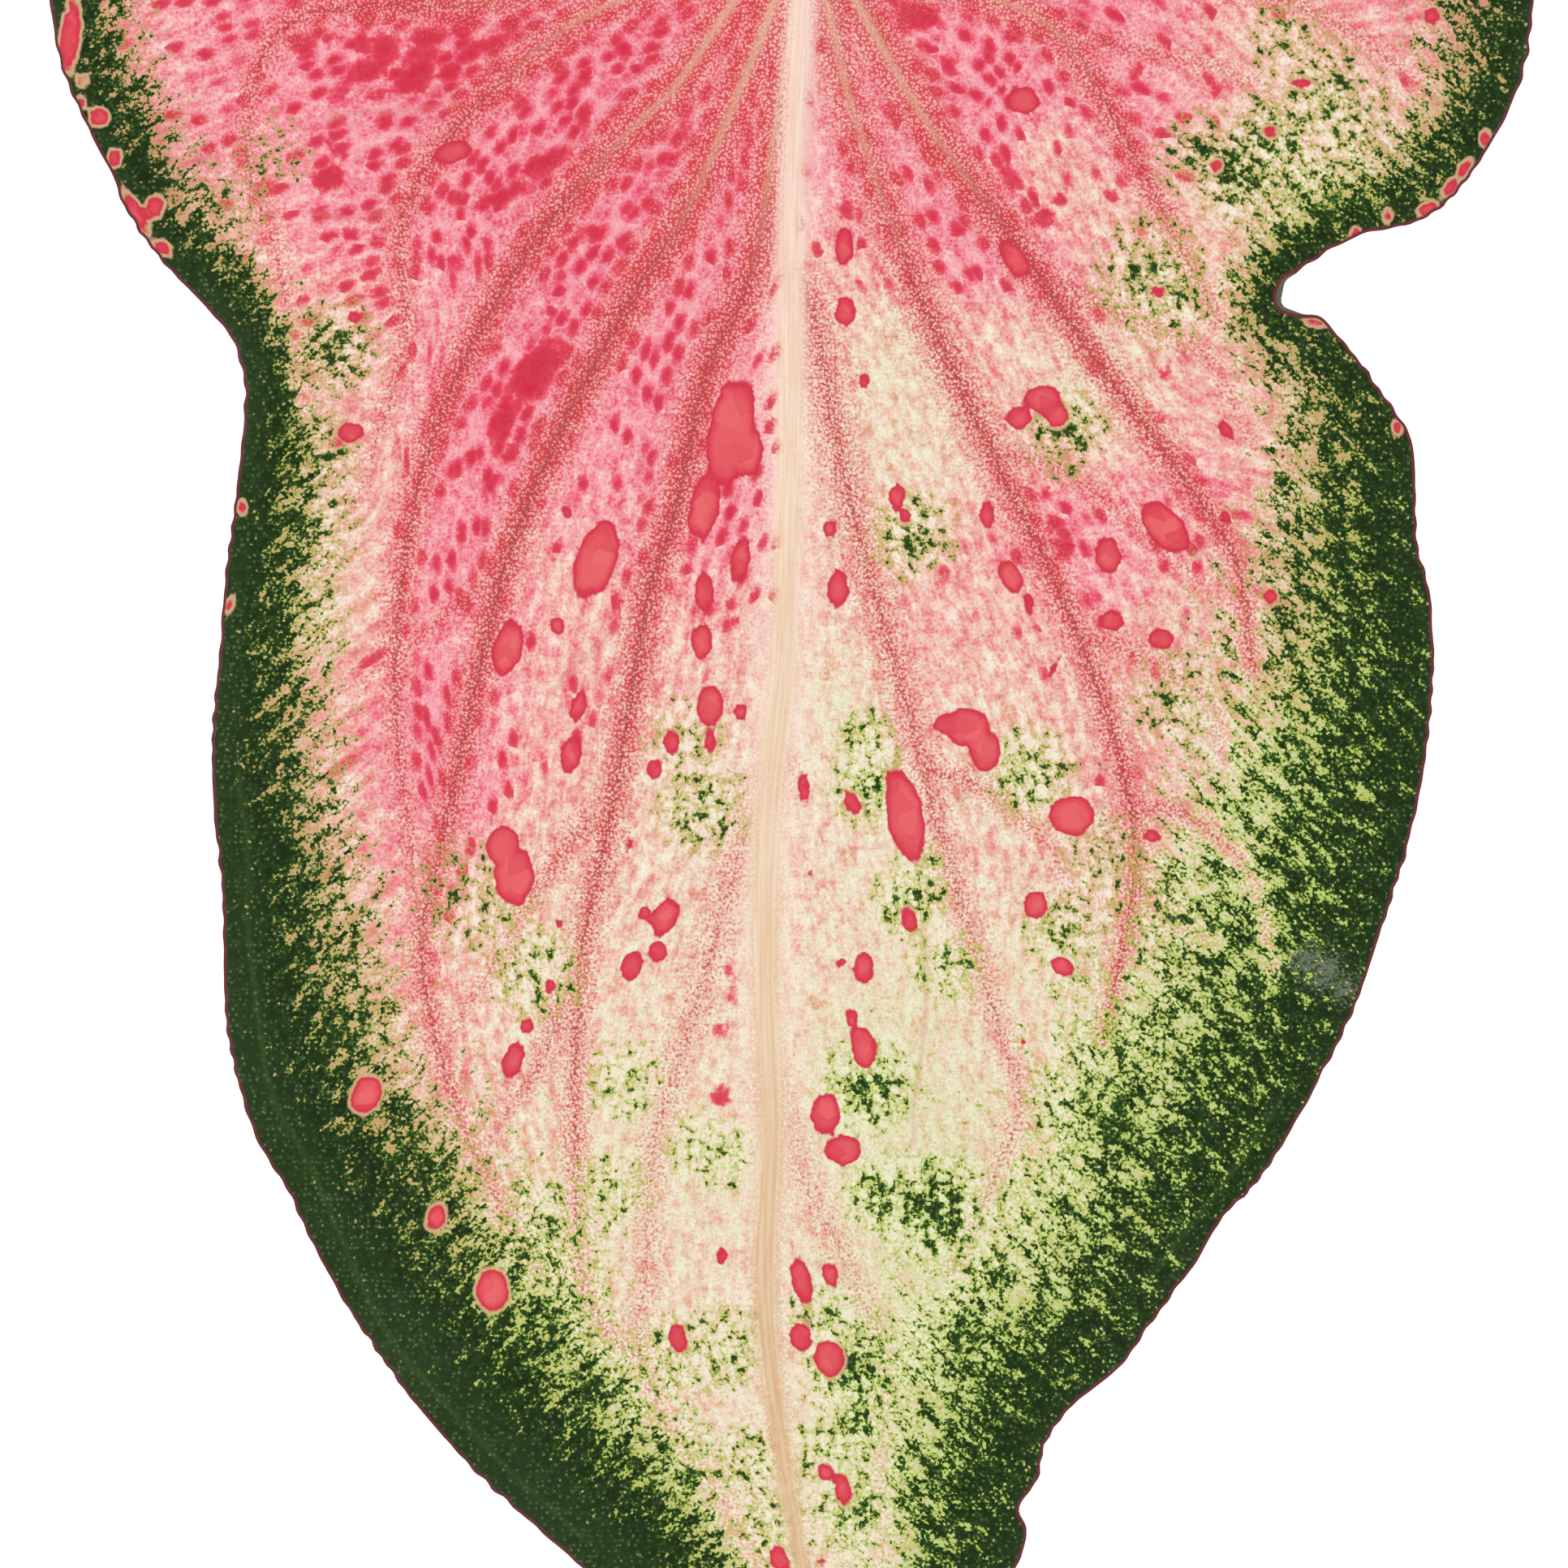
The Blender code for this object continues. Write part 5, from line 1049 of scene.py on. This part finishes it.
def stalk_mesh():
    """The stalk as rings carried along its route, from the blunt upper end to the face of the cut.
    Ring point = centre + radius * (cos(angle) * left + sin(angle) * up), less fine ribs along it."""
    route = smooth_line(STALK_ROUTE, STALK_STEP)
    share = np.linspace(0, 1, len(route))
    round_share = 0.5 * (1 + math.cos(math.pi / CAD_STALK_SIDES))
    radius = STALK_RADIUS_TOP + (STALK_RADIUS_CUT - STALK_RADIUS_TOP) * share**STALK_THICKENING
    radius = radius * round_share
    left = normals(route)
    ahead = np.column_stack([left[-1, 1], -left[-1, 0]])[0]
    top = 2 * STALK_RADIUS_TOP * round_share
    back, end_radius, drop = np.array(STALK_END_RINGS).T
    shares, proud = np.array(CUT_RINGS).T
    centre = np.vstack([
        np.column_stack([0 * back, STALK_START - back, top - drop - end_radius]),
        np.column_stack([route, radius]),
        np.column_stack([route[-1] + proud[:, None] * ahead, np.full(len(proud), radius[-1])]),
    ])
    ring_radius = np.concatenate([end_radius, radius, shares * radius[-1]])
    sideways = np.vstack([np.repeat(left[:1], len(back), 0), left, np.repeat(left[-1:], len(proud), 0)])
    angle = 2 * math.pi * np.arange(STALK_SIDES) / STALK_SIDES
    rib = STALK_RIB_HEIGHT * (0.5 - 0.5 * np.cos(STALK_RIBS * angle))
    reach = ring_radius[:, None] - rib * ring_radius[:, None] / STALK_RADIUS_CUT
    across, upward = reach * np.cos(angle), reach * np.sin(angle)
    x = centre[:, 0, None] + across * sideways[:, 0, None]
    y = centre[:, 1, None] + across * sideways[:, 1, None]
    z = centre[:, 2, None] + upward
    rings = len(centre)
    corner = np.arange(rings * STALK_SIDES).reshape(rings, STALK_SIDES)
    after = np.roll(corner, -1, axis=1)
    walls = np.stack([corner[:-1], after[:-1], after[1:], corner[1:]], -1).reshape(-1, 4)
    mesh = bpy.data.meshes.new("leaf_stalk")
    points = np.stack([x, y, z], -1).reshape(-1, 3) * MM
    faces = walls.tolist() + [corner[0][::-1].tolist(), corner[-1].tolist()]
    mesh.from_pydata(points.tolist(), [], faces)
    cut = np.arange(len(faces)) >= (rings - len(CUT_RINGS)) * STALK_SIDES
    cut[-2] = False
    mesh.polygons.foreach_set("material_index", cut.astype(np.int32))
    mesh.shade_smooth()
    mesh.set_sharp_from_angle(angle=STALK_SHARP_ANGLE)
    run = np.concatenate([-back, share * STALK_LENGTH, STALK_LENGTH + proud])
    way = np.stack([across, upward, np.repeat(run[:, None], STALK_SIDES, 1)], -1).reshape(-1, 3)
    mesh.attributes.new("stalk_way", "FLOAT_VECTOR", "POINT").data.foreach_set("vector", way.ravel())
    return mesh


stalk_skin = stalk_mesh()
stalk = put("leaf_stalk", stalk_skin)

# Waxy skin of a living stem: satin, pinkish green, with brown flecks 0.4 mm wide and 3 mm long
waxy, tree, shader = new_material("stalk_waxy_skin")
way = node(tree, "Attribute", {}, 1, attribute_name="stalk_way")
long_way = node(tree, "VectorMath", {0: way, 1: (1.0, 1.0, 0.16)}, **TIMES)
flecks = node(tree, "TexNoise", {"Vector": long_way, "Scale": 2.2, "Detail": 3, "Roughness": 0.65})
shade = node(tree, "TexNoise", {"Vector": long_way, "Scale": 0.35, "Detail": 2})
skin = node(tree, "ValToRGB", {"Fac": shade}, stops=[
    (0.32, "#a7ab76"), (0.5, "#c3ad88"), (0.68, "#d09a86")])
fleck_on = node(tree, "MapRange", {0: flecks, 1: 0.56, 2: 0.66}, **SOFT)
skin = node(tree, "Mix", {0: fleck_on, 6: skin, 7: "#7c4a44"}, 2, **TINT)
wax = node(tree, "Bump", {"Height": flecks, "Strength": 0.3, "Distance": 0.1 * MM})
feed(shader, {"Base Color": skin, "Normal": wax, "Roughness": 0.42, "Specular IOR Level": 0.3})
stalk_skin.materials.append(waxy)

# Freshly cut stem: wet and pale, with the ends of its strands as dots 0.5 mm across, 1 mm apart
fresh, tree, shader = new_material("stalk_fresh_cut")
way = node(tree, "Attribute", {}, 1, attribute_name="stalk_way")
strands = node(tree, "TexVoronoi", {"Vector": way, "Scale": 1.0}, **FLAT)
pith = node(tree, "TexNoise", {"Vector": way, "Scale": 3.0, "Detail": 3})
flesh = node(tree, "ValToRGB", {"Fac": pith}, stops=[(0.35, "#cfd0a4"), (0.65, "#e6e1c4")])
strand_on = node(tree, "MapRange", {0: strands, 1: 0.28, 2: 0.18}, **SOFT)
flesh = node(tree, "Mix", {0: strand_on, 6: flesh, 7: "#9a8f5e"}, 2, **TINT)
wet = node(tree, "Bump", {"Height": pith, "Strength": 0.4, "Distance": 0.2 * MM})
feed(shader, {"Base Color": flesh, "Normal": wet, "Roughness": 0.28})
stalk_skin.materials.append(fresh)
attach(stalk, "root")
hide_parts("petiole")


# Table and light: a plain white surface, two soft lamps beside the leaf, and a camera that looks
# straight down. A long lens keeps the flat leaf free of perspective.
TABLE_SIDE = 3000.0
TABLE_BELOW = 0.1
CARD_GLOW = 0.85
AIR_LIGHT = 0.3
LAMP_SIZE = 0.8
VIEW_CENTRE = (-2.0, -105.6)
VIEW_WIDE = 193.2
VIEW_HEIGHT = 2.0
LENS = 300.0
SENSOR = 36.0

table_mesh = bpy.data.meshes.new("table")
half = 0.5 * TABLE_SIDE * MM
corners = [(-half, -half, 0), (half, -half, 0), (half, half, 0), (-half, half, 0)]
table_mesh.from_pydata(corners, [], [(0, 1, 2, 3)])
table = put("table", table_mesh)
table.location.z = -TABLE_BELOW * MM
white, tree, shader = new_material("white_card")
feed(shader, {"Base Color": "#a0a0a0", "Roughness": 0.9, "Specular IOR Level": 0.0,
              "Emission Color": "#ffffff", "Emission Strength": CARD_GLOW})
table_mesh.materials.append(white)

world = bpy.data.worlds.new("studio")
world.use_nodes = True
feed(world.node_tree.nodes["Background"], {"Color": "#ffffff", "Strength": AIR_LIGHT})
bpy.context.scene.world = world

# Each lamp's name, its place in metres, and its power in watts
lamps = [("lamp_left", (-1.0, 0.25, 0.8), 7.5), ("lamp_right", (1.0, -0.45, 0.8), 5.5),
         ("lamp_back", (0.1, 0.95, 0.8), 6.0), ("lamp_front", (-0.1, -1.15, 0.8), 5.0)]
for name, place, power in lamps:
    light = bpy.data.lights.new(name, "AREA")
    light.shape = "DISK"
    light.size = LAMP_SIZE
    light.energy = power
    lamp = put(name, light)
    lamp.location = place
    aim = Vector((VIEW_CENTRE[0] * MM, VIEW_CENTRE[1] * MM, 0)) - Vector(place)
    lamp.rotation_euler = aim.to_track_quat("-Z", "Y").to_euler()

lens = bpy.data.cameras.new("camera")
lens.lens = LENS
lens.sensor_width = SENSOR
camera = put("camera", lens)
height = VIEW_HEIGHT + VIEW_WIDE * LENS / SENSOR
camera.location = (VIEW_CENTRE[0] * MM, VIEW_CENTRE[1] * MM, height * MM)
bpy.context.scene.camera = camera
bpy.context.scene.view_settings.view_transform = "Standard"
